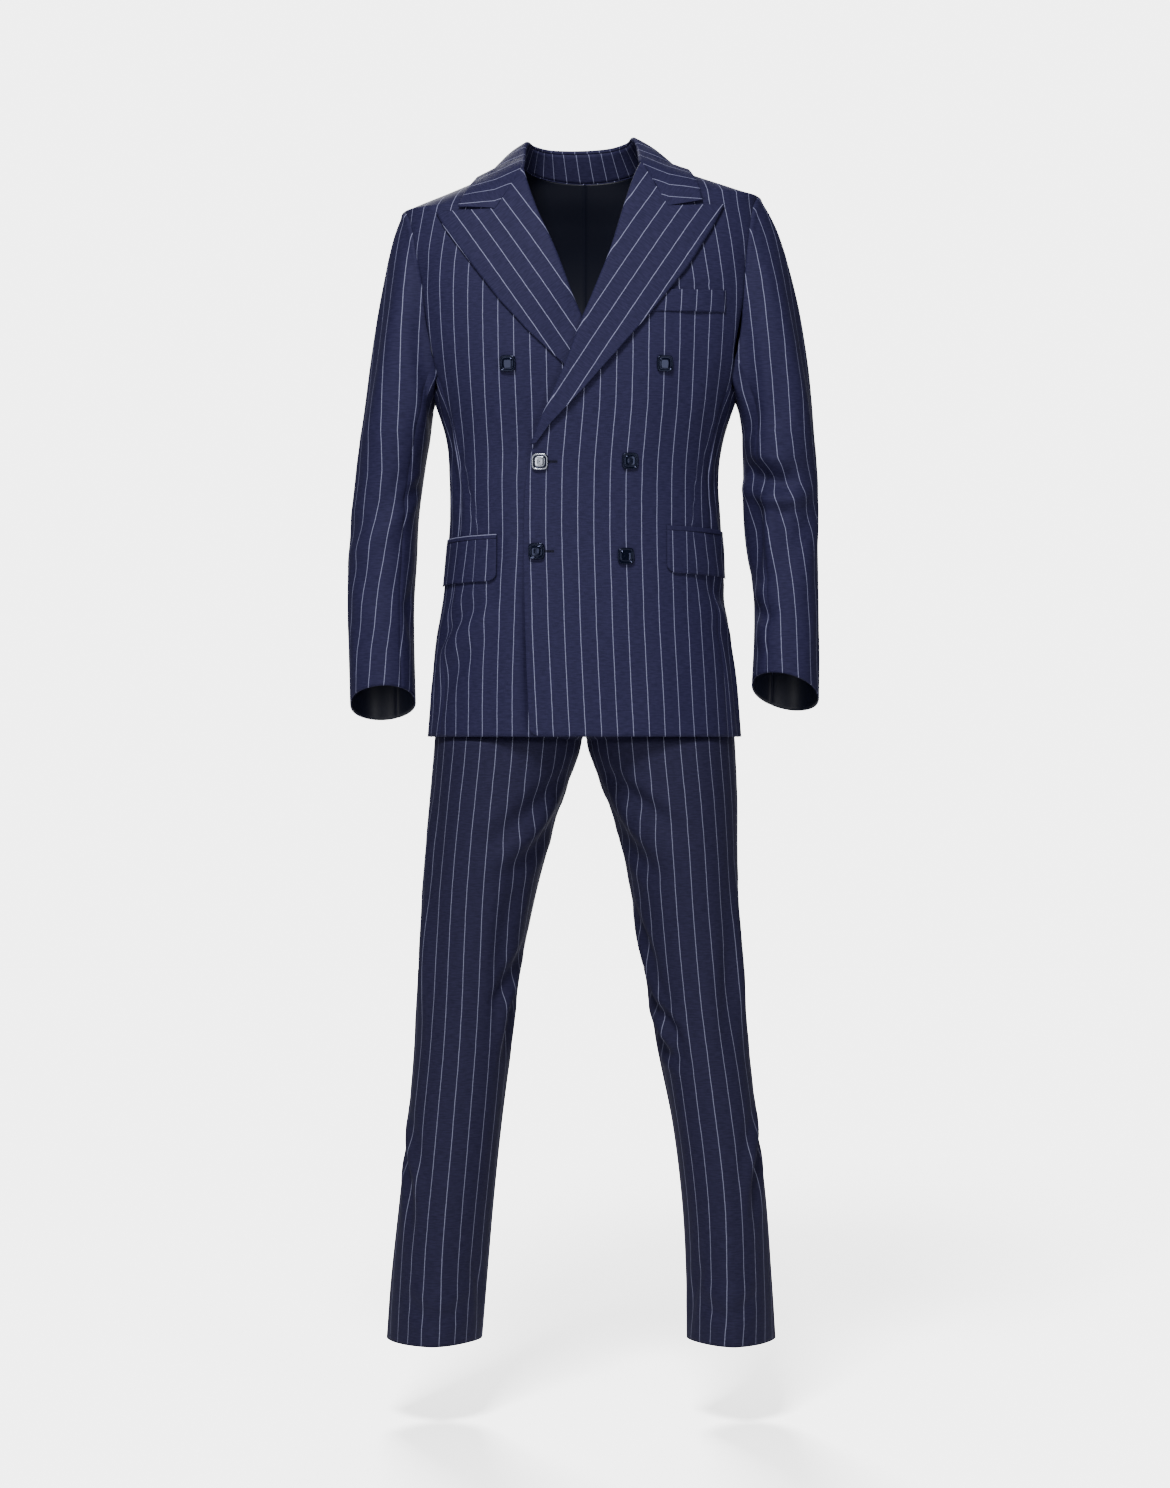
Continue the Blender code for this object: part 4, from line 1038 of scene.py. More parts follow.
GORGE_ROWS = {1: gorge_row(1), -1: gorge_row(-1)}


def collar_row(turn):
    """Section of the collar's fall: up inside the neck, round the fold and down outside."""
    first, last = COLLAR[0][0], COLLAR[-1][0]
    fold, edge, run = collar_frame(turn)
    across = (edge - fold).normalized()
    away = across.cross(run)
    if away.z < 0:
        away = -away
    row = []
    for k in range(TURN_STEPS + 1):
        a = math.radians(mix(-90, 90, k / TURN_STEPS))
        row.append(fold - across * ROLL_RADIUS * math.cos(a) + away * ROLL_RADIUS * (math.sin(a) - 1))
    for k in range(1, COLLAR_COLUMNS + 1):
        s = k / COLLAR_COLUMNS
        p = fold.lerp(edge, s) + away * COLLAR_BELLY * math.sin(math.pi * s)
        row.append(cleared(p, COLLAR_OFF))
    near_end = ease(1 - min(turn - first, last - turn) / COLLAR_END)
    row = [p.lerp(q, near_end) for p, q in zip(row, GORGE_ROWS[1 if turn < 90 else -1])]
    fall = TURN_STEPS + 1
    if near_end < 1:
        row[fall:] = [cleared(p, COLLAR_OFF) for p in row[fall:]]
    return row


def collar_fall(looks):
    shares = steps_across(COLLAR_LENGTH, COLLAR_LENGTH / COLLAR_ROWS)
    turns = [mix(COLLAR[0][0], COLLAR[-1][0], u) for u in shares]
    points = np.array([collar_row(turn) for turn in turns])
    middle = points[:, TURN_STEPS + COLLAR_COLUMNS // 3]
    run = distances(middle)
    down = distances(points, axis=1)
    from_end = [min(turn - COLLAR[0][0], COLLAR[-1][0] - turn) for turn in turns]
    level = np.array([ease(1 - far / LEVEL_REACH) for far in from_end])
    rise = np.where(np.array(turns) < 90, 1.0, -1.0) * math.cos(LEVEL_TILT)
    off = points - middle[:, None]
    off = off[:, :, 0] * math.sin(LEVEL_TILT) + off[:, :, 2] * rise[:, None]
    grain = np.stack([run[:, None] + off * level[:, None] + COLLAR_STRIPE, -down], axis=2)
    return cloth("collar_fall", points, grain, looks, LAPEL_WALL, centred=True)


def neck_seam(turn):
    """Point of the jacket's neckline at a turn round the neck."""
    side = 1 if turn < 90 else -1
    past = -turn if side > 0 else turn - 180
    if past > 0:
        z = mix(NECK_Z, GORGE_START[side][1], past / -COLLAR[0][0])
        return on_front(side * between(FRONT_EDGE, z, COLUMN[side]), z)
    out = SHOULDER[0][0] * math.cos(math.radians(turn))
    return on_front(out, neckline_z(out), True)


def collar_stand(looks):
    points, grain = [], []
    for j in range(STAND_ROWS + 1):
        turn = mix(*STAND_ENDS, j / STAND_ROWS)
        top, foot = collar_row(turn)[0], neck_seam(turn)
        up = (top - foot).normalized()
        foot, top = foot - up * STAND_FOOT, top - up * STAND_TOP
        columns = range(STAND_COLUMNS + 1)
        points.append([foot.lerp(top, k / STAND_COLUMNS) for k in columns])
        grain.append([(STAND_STEP[0] * j, STAND_STEP[1] * k) for k in columns])
    return cloth("collar_stand", np.array(points), np.array(grain), looks, PANEL_WALL, centred=True)


# ---------------------------------------------------------------- sleeves

CAP_ROWS, TUBE_ROWS = 52, 84
CAP_CROWDING = 1.25  # how much closer the rows lie at the armhole
SLEEVE_WIDTH = {"top": 190.0, "under": 110.0}  # across the cloth, for the grids
SLEEVE_LENGTH = 620.0
UNEVEN = 1.2  # how much more uneven the cloth of the sleeves and legs hangs
SLEEVE_FOLDS = {
    1: (
        (13.0, -12.0, ((160, -366), (140, -380), (116, -388), (92, -390), (62, -382))),
        (9.0, 5.5, ((128, -404), (110, -411), (90, -413), (62, -408))),
        (20.0, 3.6, ((156, -326), (118, -344), (84, -350), (56, -344))),
        (13.0, -11.0, ((140, -386), (144, -428), (147, -468), (150, -505))),
        (9.0, 4.0, ((116, -412), (117, -450), (120, -490))),
        (10.0, -8.0, ((98, -170), (114, -222), (123, -258), (134, -300), (142, -344))),
        (8.0, -3.2, ((172, -546), (130, -557), (100, -554))),
        (10.0, 2.2, ((170, -522), (130, -528), (104, -526))),
        (10.0, 2.0, ((168, -578), (130, -586), (104, -590))),
        (12.0, 2.6, ((40, -90), (51, -155), (54, -230), (50, -300), (40, -350))),
        (14.0, -2.8, ((14, -100), (24, -170), (26, -250), (16, -330))),
        (10.0, -2.4, ((30, -400), (56, -440), (92, -490))),
        (11.0, 1.8, ((20, -430), (40, -470), (66, -530))),
        (9.0, -2.4, ((-30, -430), (-64, -456), (-100, -466))),
        (12.0, -1.6, ((20, -560), (30, -610), (28, -650))),
    ),
    -1: (
        (14.0, -2.6, ((4, -462), (40, -448), (72, -432), (108, -405), (144, -366))),
        (13.0, 2.2, ((14, -486), (60, -474), (96, -456), (128, -424))),
        (14.0, -2.0, ((44, -484), (66, -513), (88, -533), (118, -540))),
        (10.0, -8.0, ((94, -170), (111, -218), (123, -248), (140, -282), (172, -324))),
        (8.0, -3.0, ((172, -388), (150, -398), (118, -424))),
        (8.0, -2.4, ((160, -512), (145, -545), (158, -590))),
        (12.0, 2.2, ((44, -100), (58, -170), (62, -250), (54, -330))),
        (14.0, -2.6, ((16, -110), (26, -180), (28, -250), (18, -340))),
        (10.0, -2.2, ((84, -170), (98, -230), (134, -290))),
        (9.0, -2.0, ((-26, -430), (-60, -452), (-100, -464))),
        (12.0, 1.6, ((30, -560), (44, -610), (40, -655))),
    ),
}
ARMHOLE_LAP = 5.0  # how far the sleeve reaches in under the armhole's edge
CROWN = 1.8  # how far the sleeve head stands up behind its seam


def armhole_point(turn, side):
    """Point of the armhole seam, at a turn in degrees from its top: forward is positive."""
    low = UNDERARM_Z - UNDERARM_DIP
    z = mix(TIP_Z[side], low, (1 - math.cos(math.radians(turn))) / 2)
    back = turn < 0 or turn > 180
    if z > UNDERARM_Z:
        return on_front(side * panel_side_out(z, side, back), z, back)
    span = math.sqrt(max(0.0, 1 - (UNDERARM_Z - z) / UNDERARM_DIP))
    half = (90 - SIDE_SEAM) * span
    return at_angle(90 + half if back else 90 - half, z, side)


def sleeve_ring(turn, z, side):
    """Point of the sleeve below the armpit, at a turn from its outermost point."""
    table = SLEEVE[side]
    inner, outer, front, rear = (between(table, z, c) for c in (1, 2, 3, 4))
    c, s = cos_sin(turn)
    r = square_reach(c, s, SLEEVE_SECTION)
    x = (inner + outer) / 2 + (outer - inner) / 2 * r * c
    y = (front + rear) / 2 - (rear - front) / 2 * r * s
    to_cuff = (table[0][0] - z) / (table[0][0] - table[-1][0])
    z += (CUFF_SLANT * s - CUFF_LEAN[side] * c) * to_cuff**2
    return Vector((side * x, y, z))


def sleeve_point(turn, t, side):
    """Point of a sleeve: t runs 0 to 1 down the cap and 1 to 2 down the tube."""
    table = SLEEVE[side]
    if t >= 1:
        return sleeve_ring(turn, mix(table[0][0], table[-1][0], t - 1), side)
    start = armhole_point(turn, side)
    end = sleeve_ring(turn, table[0][0], side)
    low = (1 - math.cos(math.radians(turn))) / 2
    ahead = math.sin(math.radians(turn))
    out, up = (mix(a, b, low) for a, b in zip(HEAD_LEAVE, FOOT_LEAVE))
    leave = Vector((side * out, -FORWARD_LEAVE * ahead, up)).normalized()
    span = (end - start).length
    start = start - leave * ARMHOLE_LAP
    leave = leave * span * CAP_REACH[side]
    arrive = Vector((side * CAP_LEAN[side], 0, -1)) * span * CAP_ARRIVE
    return (
        start * (2 * t**3 - 3 * t**2 + 1)
        + leave * (t**3 - 2 * t**2 + t)
        + end * (3 * t**2 - 2 * t**3)
        + arrive * (t**3 - t**2)
    )


SLEEVE_PLACE = 0.75  # millimetres of flat place to a degree

# Height, and how far round the cloth from the sleeve's outermost line one stripe lies there:
# the cloth swings forward down to the elbow and back below it
SLEEVE_GRAIN = {
    1: (
        (-50, 58), (-89, 70), (-120, 80), (-155, 88), (-195, 95), (-240, 100), (-285, 102),
        (-330, 103), (-362, 99), (-380, 91), (-414, 79), (-449, 67), (-488, 61), (-524, 55),
        (-563, 50), (-650, 42), (-690, 40),
    ),
    -1: (
        (-50, 44), (-100, 58), (-132, 67), (-180, 78), (-230, 87), (-266, 93), (-303, 98),
        (-343, 102), (-378, 104), (-413, 101), (-450, 93), (-490, 87), (-525, 80), (-564, 74),
        (-599, 66), (-664, 57), (-700, 54),
    ),
}  # fmt: skip
CLOSE_FIT = {1: 1.0, -1: 0.88}  # the stripes' spacing at the sleeve's top, where its cloth is eased in
CLOSE_TOP, CLOSE_DROP = -150.0, 320.0  # the height below which, and the drop over which, this ends
EDGE_SPREAD, EDGE_REACH = 0.45, 20.0  # stripes stand wider apart round the outermost line
LEVELS = 90  # heights at which the way round a sleeve is measured
HEAD_CURVE = 0.6  # how the roll along the armhole dies out towards the underarm
HEAD_AT, HEAD_REACH = 8.0, 5.0  # where the roll stands below the armhole, and how far it reaches
TUCK, TUCK_REACH = 1.2, 2.2  # how far the cloth is drawn in at the armhole seam
UNDER_AHEAD = 24  # steps from the outermost line to the front seam, to carry the stripes past it


def level_runs(points, start):
    """Cloth distance round the sleeve at the height of each grid point, from column start."""
    heights = points[:, :, 2]
    levels = np.linspace(heights.min(), heights.max(), LEVELS)
    columns = heights.shape[1]
    at_level = np.zeros((LEVELS, columns, 3))
    for i in range(columns):
        z = heights[::-1, i]
        for axis in range(3):
            at_level[:, i, axis] = np.interp(levels, z, points[::-1, i, axis])
    run = distances(at_level, axis=1)
    run = run - run[:, start : start + 1]
    return np.stack([np.interp(heights[:, i], levels, run[:, i]) for i in range(columns)], axis=1)


def sleeve(side, part, first, last, looks):
    name = f"sleeve_{part}_{SIDE_NAME[side]}"
    shares = steps_across(SLEEVE_WIDTH[part], STEP)
    turns = np.array([mix(first, last, u) for u in shares])
    downs = [(k / CAP_ROWS) ** CAP_CROWDING for k in range(CAP_ROWS)]
    downs += [1 + k / TUBE_ROWS for k in range(TUBE_ROWS + 1)]
    points = np.array([[sleeve_point(turn, t, side) for turn in turns] for t in downs])
    if part == "top":
        across = level_runs(points, int(np.argmin(np.abs(turns))))
    else:
        ahead = [mix(0.0, first, k / UNDER_AHEAD) for k in range(UNDER_AHEAD)]
        before = np.array([[sleeve_point(turn, t, side) for turn in ahead] for t in downs])
        across = level_runs(np.concatenate([before, points], axis=1), 0)[:, UNDER_AHEAD:]
    heights, stripe = np.array(SLEEVE_GRAIN[side], dtype=float)[::-1].T
    fallen = np.clip((CLOSE_TOP - points[:, :, 2]) / CLOSE_DROP, 0, 1)
    spread = EDGE_SPREAD * EDGE_REACH * (1 - np.tanh(across / EDGE_REACH))
    across = across + spread - np.interp(points[:, :, 2], heights, stripe)
    across = across * (CLOSE_FIT[side] + (1 - CLOSE_FIT[side]) * fallen**2)
    grain = np.stack([side * across, points[:, :, 2]], axis=2)
    ring = turns[None, :].repeat(len(downs), axis=0)
    places = np.stack([ring * SLEEVE_PLACE, points[:, :, 2]], axis=2)
    folds = [(w, h, [(a * SLEEVE_PLACE, z) for a, z in line]) for w, h, line in SLEEVE_FOLDS[side]]
    widths = (np.array(shares), np.linspace(0, 1, len(downs)), SLEEVE_WIDTH[part], SLEEVE_LENGTH)
    turn = edge_turn(points.shape[:2], widths, ("first", "last"))
    head = np.clip(np.cos(np.radians(ring)), 0, 1) ** HEAD_CURVE
    fall = np.linalg.norm(points - points[:1], axis=2)
    turn = turn - head * CROWN * np.exp(-(((fall - HEAD_AT) / HEAD_REACH) ** 2))
    turn = turn + TUCK * np.exp(-((fall / TUCK_REACH) ** 2))
    points = draped(points, places, folds, turn, side > 0, unevenness=UNEVEN, seed=side * 3)
    return cloth(name, points, grain, looks, PANEL_WALL, flip=side > 0)


# ---------------------------------------------------------------- trousers

TROUSER_TOP = -484.0
TROUSER_ROWS = 230
LEG_WIDTH, LEG_LENGTH = 220.0, 972.0  # across and along the cloth, for the grids
CREASE_HEIGHT = 3.4
CREASE_REACH = 16.0  # how far it reaches to each side
CREASE_TOP, CREASE_GROWS = -760.0, 120.0  # the height it starts at, and the drop over which it grows
CREASE_SHARPER = 0.5  # how much higher it stands at the hem
HEM_TOP, HEM_GROWS = -1150.0, 260.0  # the height where the leg starts to draw in, and the drop it takes
LEG_FOLDS = {
    1: (
        (10.0, -5.8, ((150, -742), (120, -786), (84, -826))),
        (11.0, -4.5, ((166, -812), (142, -850), (112, -884))),
        (10.0, 4.2, ((160, -772), (132, -818), (98, -856))),
        (9.0, -4.2, ((172, -900), (158, -940), (138, -990))),
        (9.0, 4.2, ((174, -930), (162, -972), (148, -1020), (142, -1070))),
        (9.0, -5.4, ((176, -1000), (152, -1040), (126, -1068), (118, -1110))),
        (9.0, -4.5, ((176, -1062), (150, -1092), (118, -1108))),
        (9.0, 3.8, ((174, -1036), (146, -1062), (134, -1084))),
        (12.0, 4.8, ((26, -880), (30, -960), (28, -1040), (22, -1090))),
        (12.0, -4.8, ((10, -900), (12, -980), (14, -1060))),
        (12.0, -3.8, ((48, -960), (56, -1030), (60, -1100))),
        (10.0, -4.8, ((6, -1196), (36, -1246), (48, -1310))),
        (10.0, 4.2, ((10, -1166), (36, -1210), (62, -1274))),
        (9.0, -2.7, ((56, -1400), (96, -1424), (134, -1408))),
        (9.0, 1.9, ((50, -1376), (96, -1398), (140, -1384))),
        (9.0, -2.3, ((134, -1356), (156, -1400), (166, -1442))),
    ),
    -1: (
        (11.0, -4.8, ((152, -746), (122, -796), (88, -844))),
        (11.0, -3.5, ((168, -806), (142, -846), (110, -884))),
        (10.0, 3.5, ((160, -776), (132, -824), (98, -866))),
        (12.0, -4.2, ((128, -870), (124, -950), (130, -1020))),
        (10.0, -4.8, ((170, -960), (146, -996), (124, -1040))),
        (9.0, 4.5, ((160, -1004), (140, -1036), (136, -1090))),
        (9.0, -4.2, ((176, -1010), (156, -1050), (150, -1110))),
        (12.0, 4.2, ((30, -900), (36, -980), (34, -1060))),
        (12.0, -4.2, ((12, -900), (14, -970), (12, -1040))),
        (11.0, 3.5, ((20, -780), (26, -840), (24, -900))),
        (10.0, -4.8, ((6, -1210), (36, -1258), (46, -1326))),
        (10.0, 3.8, ((8, -1176), (34, -1222), (58, -1286))),
        (9.0, -2.7, ((54, -1404), (92, -1428), (130, -1412))),
        (9.0, 1.9, ((48, -1380), (92, -1402), (138, -1388))),
        (9.0, -2.1, ((136, -1346), (158, -1394), (168, -1440))),
    ),
}
LEG_BACK_FOLDS = {
    1: (
        (11.0, -6.4, ((172, -742), (130, -770), (86, -780))),
        (11.0, -4.8, ((174, -800), (136, -824), (100, -830))),
        (10.0, 4.2, ((172, -772), (132, -796), (94, -806))),
        (14.0, -5.1, ((112, -850), (104, -930), (112, -1010))),
        (14.0, 4.8, ((76, -830), (70, -920), (76, -1010))),
        (9.0, -6.1, ((166, -1040), (128, -1058), (84, -1056), (40, -1040))),
        (9.0, -5.1, ((160, -1088), (116, -1104), (70, -1100))),
        (9.0, 4.5, ((160, -1064), (118, -1082), (72, -1080), (36, -1068))),
        (9.0, -4.2, ((150, -1128), (110, -1146), (72, -1150))),
        (12.0, -4.5, ((60, -1180), (66, -1260), (60, -1340))),
        (10.0, -2.9, ((40, -1396), (86, -1420), (132, -1408))),
        (9.0, 2.3, ((36, -1372), (84, -1394), (134, -1382))),
    ),
    -1: (
        (11.0, -5.8, ((172, -748), (128, -784), (90, -798))),
        (11.0, -4.5, ((174, -812), (140, -836), (104, -846))),
        (10.0, 3.8, ((172, -780), (134, -808), (98, -822))),
        (14.0, -5.1, ((120, -870), (116, -950), (124, -1020))),
        (14.0, 4.5, ((80, -850), (78, -940), (84, -1020))),
        (9.0, -5.4, ((168, -1052), (124, -1070), (80, -1062), (44, -1046))),
        (9.0, -5.4, ((162, -1106), (120, -1118), (80, -1110))),
        (9.0, 4.2, ((162, -1080), (120, -1094), (76, -1088))),
        (12.0, -4.2, ((70, -1170), (62, -1250), (68, -1330))),
        (10.0, -2.7, ((44, -1390), (90, -1416), (136, -1404))),
        (9.0, 2.3, ((40, -1366), (88, -1390), (138, -1378))),
    ),
}
HEM_PINCH = 6.5  # how far the creases draw the leg in between them at the hem
PINCH_CURVE = 1.4
LEG_BACK_STRIPE = 3.0  # how far the back's stripes are set on from the front's
LEG_PLACE = 1.15  # millimetres of flat place to a degree


def seat_point(angle, z, side):
    """Point of the trouser seat at an angle from the centre front."""
    c, s = cos_sin(angle)
    r = square_reach(c, s, LEG_ROUND)
    deep = between(SEAT, z, 3 if c < 0 else 2)
    return Vector((side * between(SEAT, z, 1) * r * s, -deep * r * c, z))


def leg_point(turn, z, side, back):
    """Point of one leg: turn runs from its outermost side, 0, to its inner side, 180."""
    base = 1 if side > 0 else 3
    outer, inner = between(LEG, z, base), between(LEG, z, base + 1)
    deep = between(LEG, z, 6 if back else 5)
    c, s = cos_sin(turn)
    r = square_reach(c, s, LEG_ROUND)
    x = (outer + inner) / 2 + (outer - inner) / 2 * r * c
    return Vector((side * x, (deep if back else -deep) * r * s, z))


def trouser_point(u, z, side, back):
    """Point of a trouser panel: u runs from the side seam to the centre seam or the inseam."""
    angle = 90 + 90 * u if back else 90 - 90 * u
    fallen = (FORK_TOP_Z - z) / (FORK_TOP_Z - CROTCH_Z)
    hung = math.sqrt(1 - min(max(fallen, 0.0), 1.0) ** 2)
    return leg_point(180 * u, z, side, back).lerp(seat_point(angle, z, side), hung)


def trouser_panel(side, back, looks):
    part = "back" if back else "front"
    name = f"trouser_{part}_{SIDE_NAME[side]}"
    shares = steps_across(LEG_WIDTH, STEP)
    heights = [mix(TROUSER_TOP, LEG[-1][0], k / TROUSER_ROWS) for k in range(TROUSER_ROWS + 1)]
    points = np.array([[trouser_point(u, z, side, back) for u in shares] for z in heights])
    run = distances(points, axis=1)
    across = np.zeros(run.shape)
    crease = np.zeros(run.shape)
    for j, z in enumerate(heights):
        out = np.abs(points[j, :, 0])
        order = np.argsort(out)
        stripe = between(LEG_GRAIN, z, COLUMN[side])
        spread = between(LEG_GRAIN, z, 3)
        start = np.interp(stripe, out[order], run[j][order])
        across[j] = (start - run[j]) / spread
        pressed = ease((CREASE_TOP - z) / CREASE_GROWS)
        from_middle = np.abs(run[j] - np.interp(0.5, shares, run[j]))
        low = ease((HEM_TOP - z) / HEM_GROWS)
        pinch = HEM_PINCH * low * np.abs(np.sin(2 * np.pi * np.array(shares))) ** PINCH_CURVE
        high = pressed * CREASE_HEIGHT * (1 + CREASE_SHARPER * low)
        crease[j] = high * np.exp(-from_middle / CREASE_REACH) - pinch
    if back:
        across = across + LEG_BACK_STRIPE
    grain = np.stack([-side * across, points[:, :, 2]], axis=2)
    ring = np.array(shares)[None, :].repeat(len(heights), axis=0) * 180
    places = np.stack([ring * LEG_PLACE, points[:, :, 2]], axis=2)
    table = LEG_BACK_FOLDS if back else LEG_FOLDS
    folds = [(w, h, [(a * LEG_PLACE, z) for a, z in line]) for w, h, line in table[side]]
    widths = (np.array(shares), np.linspace(0, 1, len(heights)), LEG_WIDTH, LEG_LENGTH)
    turn = edge_turn(points.shape[:2], widths, ("first", "last"))
    flip = (side > 0) != back
    points = draped(points, places, folds, turn - crease, flip, unevenness=UNEVEN, seed=side * 7 + back)
    return cloth(name, points, grain, looks, PANEL_WALL, flip=flip)


BAND_ROWS, BAND_COLUMNS = 9, 60
BAND_STEP = 4.6  # cloth from column to column


def waistband(side, looks):
    name = f"waistband_{SIDE_NAME[side]}"
    columns = range(BAND_COLUMNS + 1)
    points, grain = [], []
    for k in range(BAND_ROWS + 1):
        z = mix(WAISTBAND_TOP_Z, TROUSER_TOP + 2 * SEAM, k / BAND_ROWS)
        points.append([seat_point(180 * i / BAND_COLUMNS, z, side) for i in columns])
        grain.append([(side * BAND_STEP * i, z) for i in columns])
    return cloth(name, np.array(points), np.array(grain), looks, WALL, flip=side < 0)


# ---------------------------------------------------------------- pockets

FLAP_WALL = 1.2
FLAP_LIFT, JET_LIFT = 1.5, 1.3  # middle of each wall over the jacket
FLAP_BOW = 0.8  # how much further each lower edge stands off in its middle
FLAP_ROWS, JET_ROWS = 24, 4
POCKET_COLUMNS = 34


def wrap_point(angle, z, side, lift):
    """Point lifted off the trunk form at an angle from the centre front."""
    step = 0.5  # degrees and millimetres, to find which way the form faces
    across = at_angle(angle + step, z, side) - at_angle(angle - step, z, side)
    up = at_angle(angle, z + step, side) - at_angle(angle, z - step, side)
    normal = across.cross(up).normalized() * side
    return at_angle(angle, z, side) + normal * lift


def pocket_strip(name, side, top, height, corner, rows_down, lift, looks, along_mouth=False):
    """Strip of cloth on the front and round the side, along the pocket's mouth."""
    points, grain = [], []
    for j in range(rows_down + 1):
        v = j / rows_down
        line, flat = [], []
        for i in range(POCKET_COLUMNS + 1):
            u = i / POCKET_COLUMNS
            z = POCKET_Z[side] + top - POCKET_FALL * u - height * v
            cut_in = corner * max(0.0, 1 - (1 - v) * height / corner) ** 2 if corner else 0.0
            first = angle_of(POCKET_INNER[side] + cut_in, z, side)
            angle = mix(first, POCKET_OUTER_ANGLE, u)
            bow = FLAP_BOW * math.sin(math.pi * u) * v * v
            line.append(wrap_point(angle, z, side, lift + bow))
            flat.append((side * front_grain(angle, z, side), z))
        points.append(line)
        grain.append(flat)
    points, grain = np.array(points), np.array(grain)
    if along_mouth:
        run = distances(points, axis=1)
        down = np.linspace(0, height, rows_down + 1)[:, None].repeat(POCKET_COLUMNS + 1, axis=1)
        grain = np.stack([down + JET_STRIPE[side], run], axis=2)
    places = trunk_places(points, side)
    points = draped(points, places, TRUNK_FOLDS[side], np.zeros(points.shape[:2]), side < 0, 0.0)
    return cloth(name, points, grain, looks, FLAP_WALL, flip=side < 0, centred=True)


JET_STRIPE = {1: 7.0, -1: -1.1}  # where the stripe lies across each jet: on the right one it shows


def pockets(side, looks):
    end = SIDE_NAME[side]
    pocket_strip(f"pocket_jet_{end}", side, JET_HEIGHT, JET_HEIGHT, 0, JET_ROWS, JET_LIFT, looks, True)
    pocket_strip(
        f"pocket_flap_{end}", side, -SEAM, FLAP_HEIGHT, FLAP_CORNER, FLAP_ROWS, FLAP_LIFT, looks
    )


WELT_OFF = 2.0  # how far the stripes miss those of the front at the welt's top
WELT_ROWS, WELT_COLUMNS = 12, 30
WELT_WALL = 1.0
WELT_LIFT = 1.2  # middle of its wall over the cloth


def chest_welt(looks):
    points, grain = [], []
    for j in range(WELT_ROWS + 1):
        v = j / WELT_ROWS
        line, flat = [], []
        for i in range(WELT_COLUMNS + 1):
            u = i / WELT_COLUMNS
            x = mix(*WELT_OUT, u)
            z = mix(*WELT_Z, v) - WELT_SLOPE * (1 - u)
            line.append(cloth_point(x, z, 1, WELT_LIFT))
            flat.append((front_grain(signed_angle(x, z, 1), z, 1) - WELT_OFF * (1 - v), z))
        points.append(line)
        grain.append(flat)
    return cloth("chest_welt", np.array(points), np.array(grain), looks, WELT_WALL, centred=True)


# ---------------------------------------------------------------- finishes


def linear(code):
    """Linear colour of an sRGB hex code."""
    parts = [int(code[k : k + 2], 16) / 255 for k in (1, 3, 5)]
    return tuple(c / 12.92 if c <= 0.04045 else ((c + 0.055) / 1.055) ** 2.4 for c in parts) + (1.0,)


def add(tree, kind, settings=None, inputs=None):
    """A node with its settings, its values and its links."""
    node = tree.nodes.new(kind)
    for key, value in (settings or {}).items():
        setattr(node, key, value)
    for key, value in (inputs or {}).items():
        if isinstance(value, bpy.types.NodeSocket):
            tree.links.new(value, node.inputs[key])
        else:
            node.inputs[key].default_value = value
    return node


def plain(name, colour, roughness, **sockets):
    """A material of one colour; a socket's spaces are written as underscores."""
    made = bpy.data.materials.new(name)
    made.use_nodes = True
    shader = made.node_tree.nodes["Principled BSDF"]
    shader.inputs["Base Color"].default_value = linear(colour)
    shader.inputs["Roughness"].default_value = roughness
    for key, value in sockets.items():
        shader.inputs[key.replace("_", " ")].default_value = value
    return made


STRIPE_WIDTH = 0.8  # of the pale warp threads
STRIPE_SOFT = (0.65, 1.35)  # where its edge starts and ends, in half widths
WANDER, WANDER_SCALE = 0.6, 60.0  # how far the pale threads wander, and how often to the metre
YARN_SCALE = 420.0  # uneven places of a pale thread to the metre
YARN_TONE = (1.1, 0.28)  # how much they show in it, and how pale it is at least
TWILL = 1.4  # between two twill lines; the real 0.5 is too fine to show
SLUB, SLUB_HIGH = 9.0, 1.6  # length and height of the uneven places in the weft
SLUB_TONE = (3.0, -1.13)  # how strongly they lighten the ground, and from how dark
BLOTCH_SCALE = 38.0  # slow changes of tone to the metre
BLOTCH_TONE, TWILL_TONE = 0.25, 0.07
SLUB_ROUGH = (0.14, 0.66)  # how much rougher the slubs are, and the roughness at least
TWILL_RELIEF, SLUB_RELIEF, STRIPE_RELIEF = 0.25, 0.9, 0.35  # shares of the bump's depth
BUMP_DEPTH = 0.3  # in millimetres


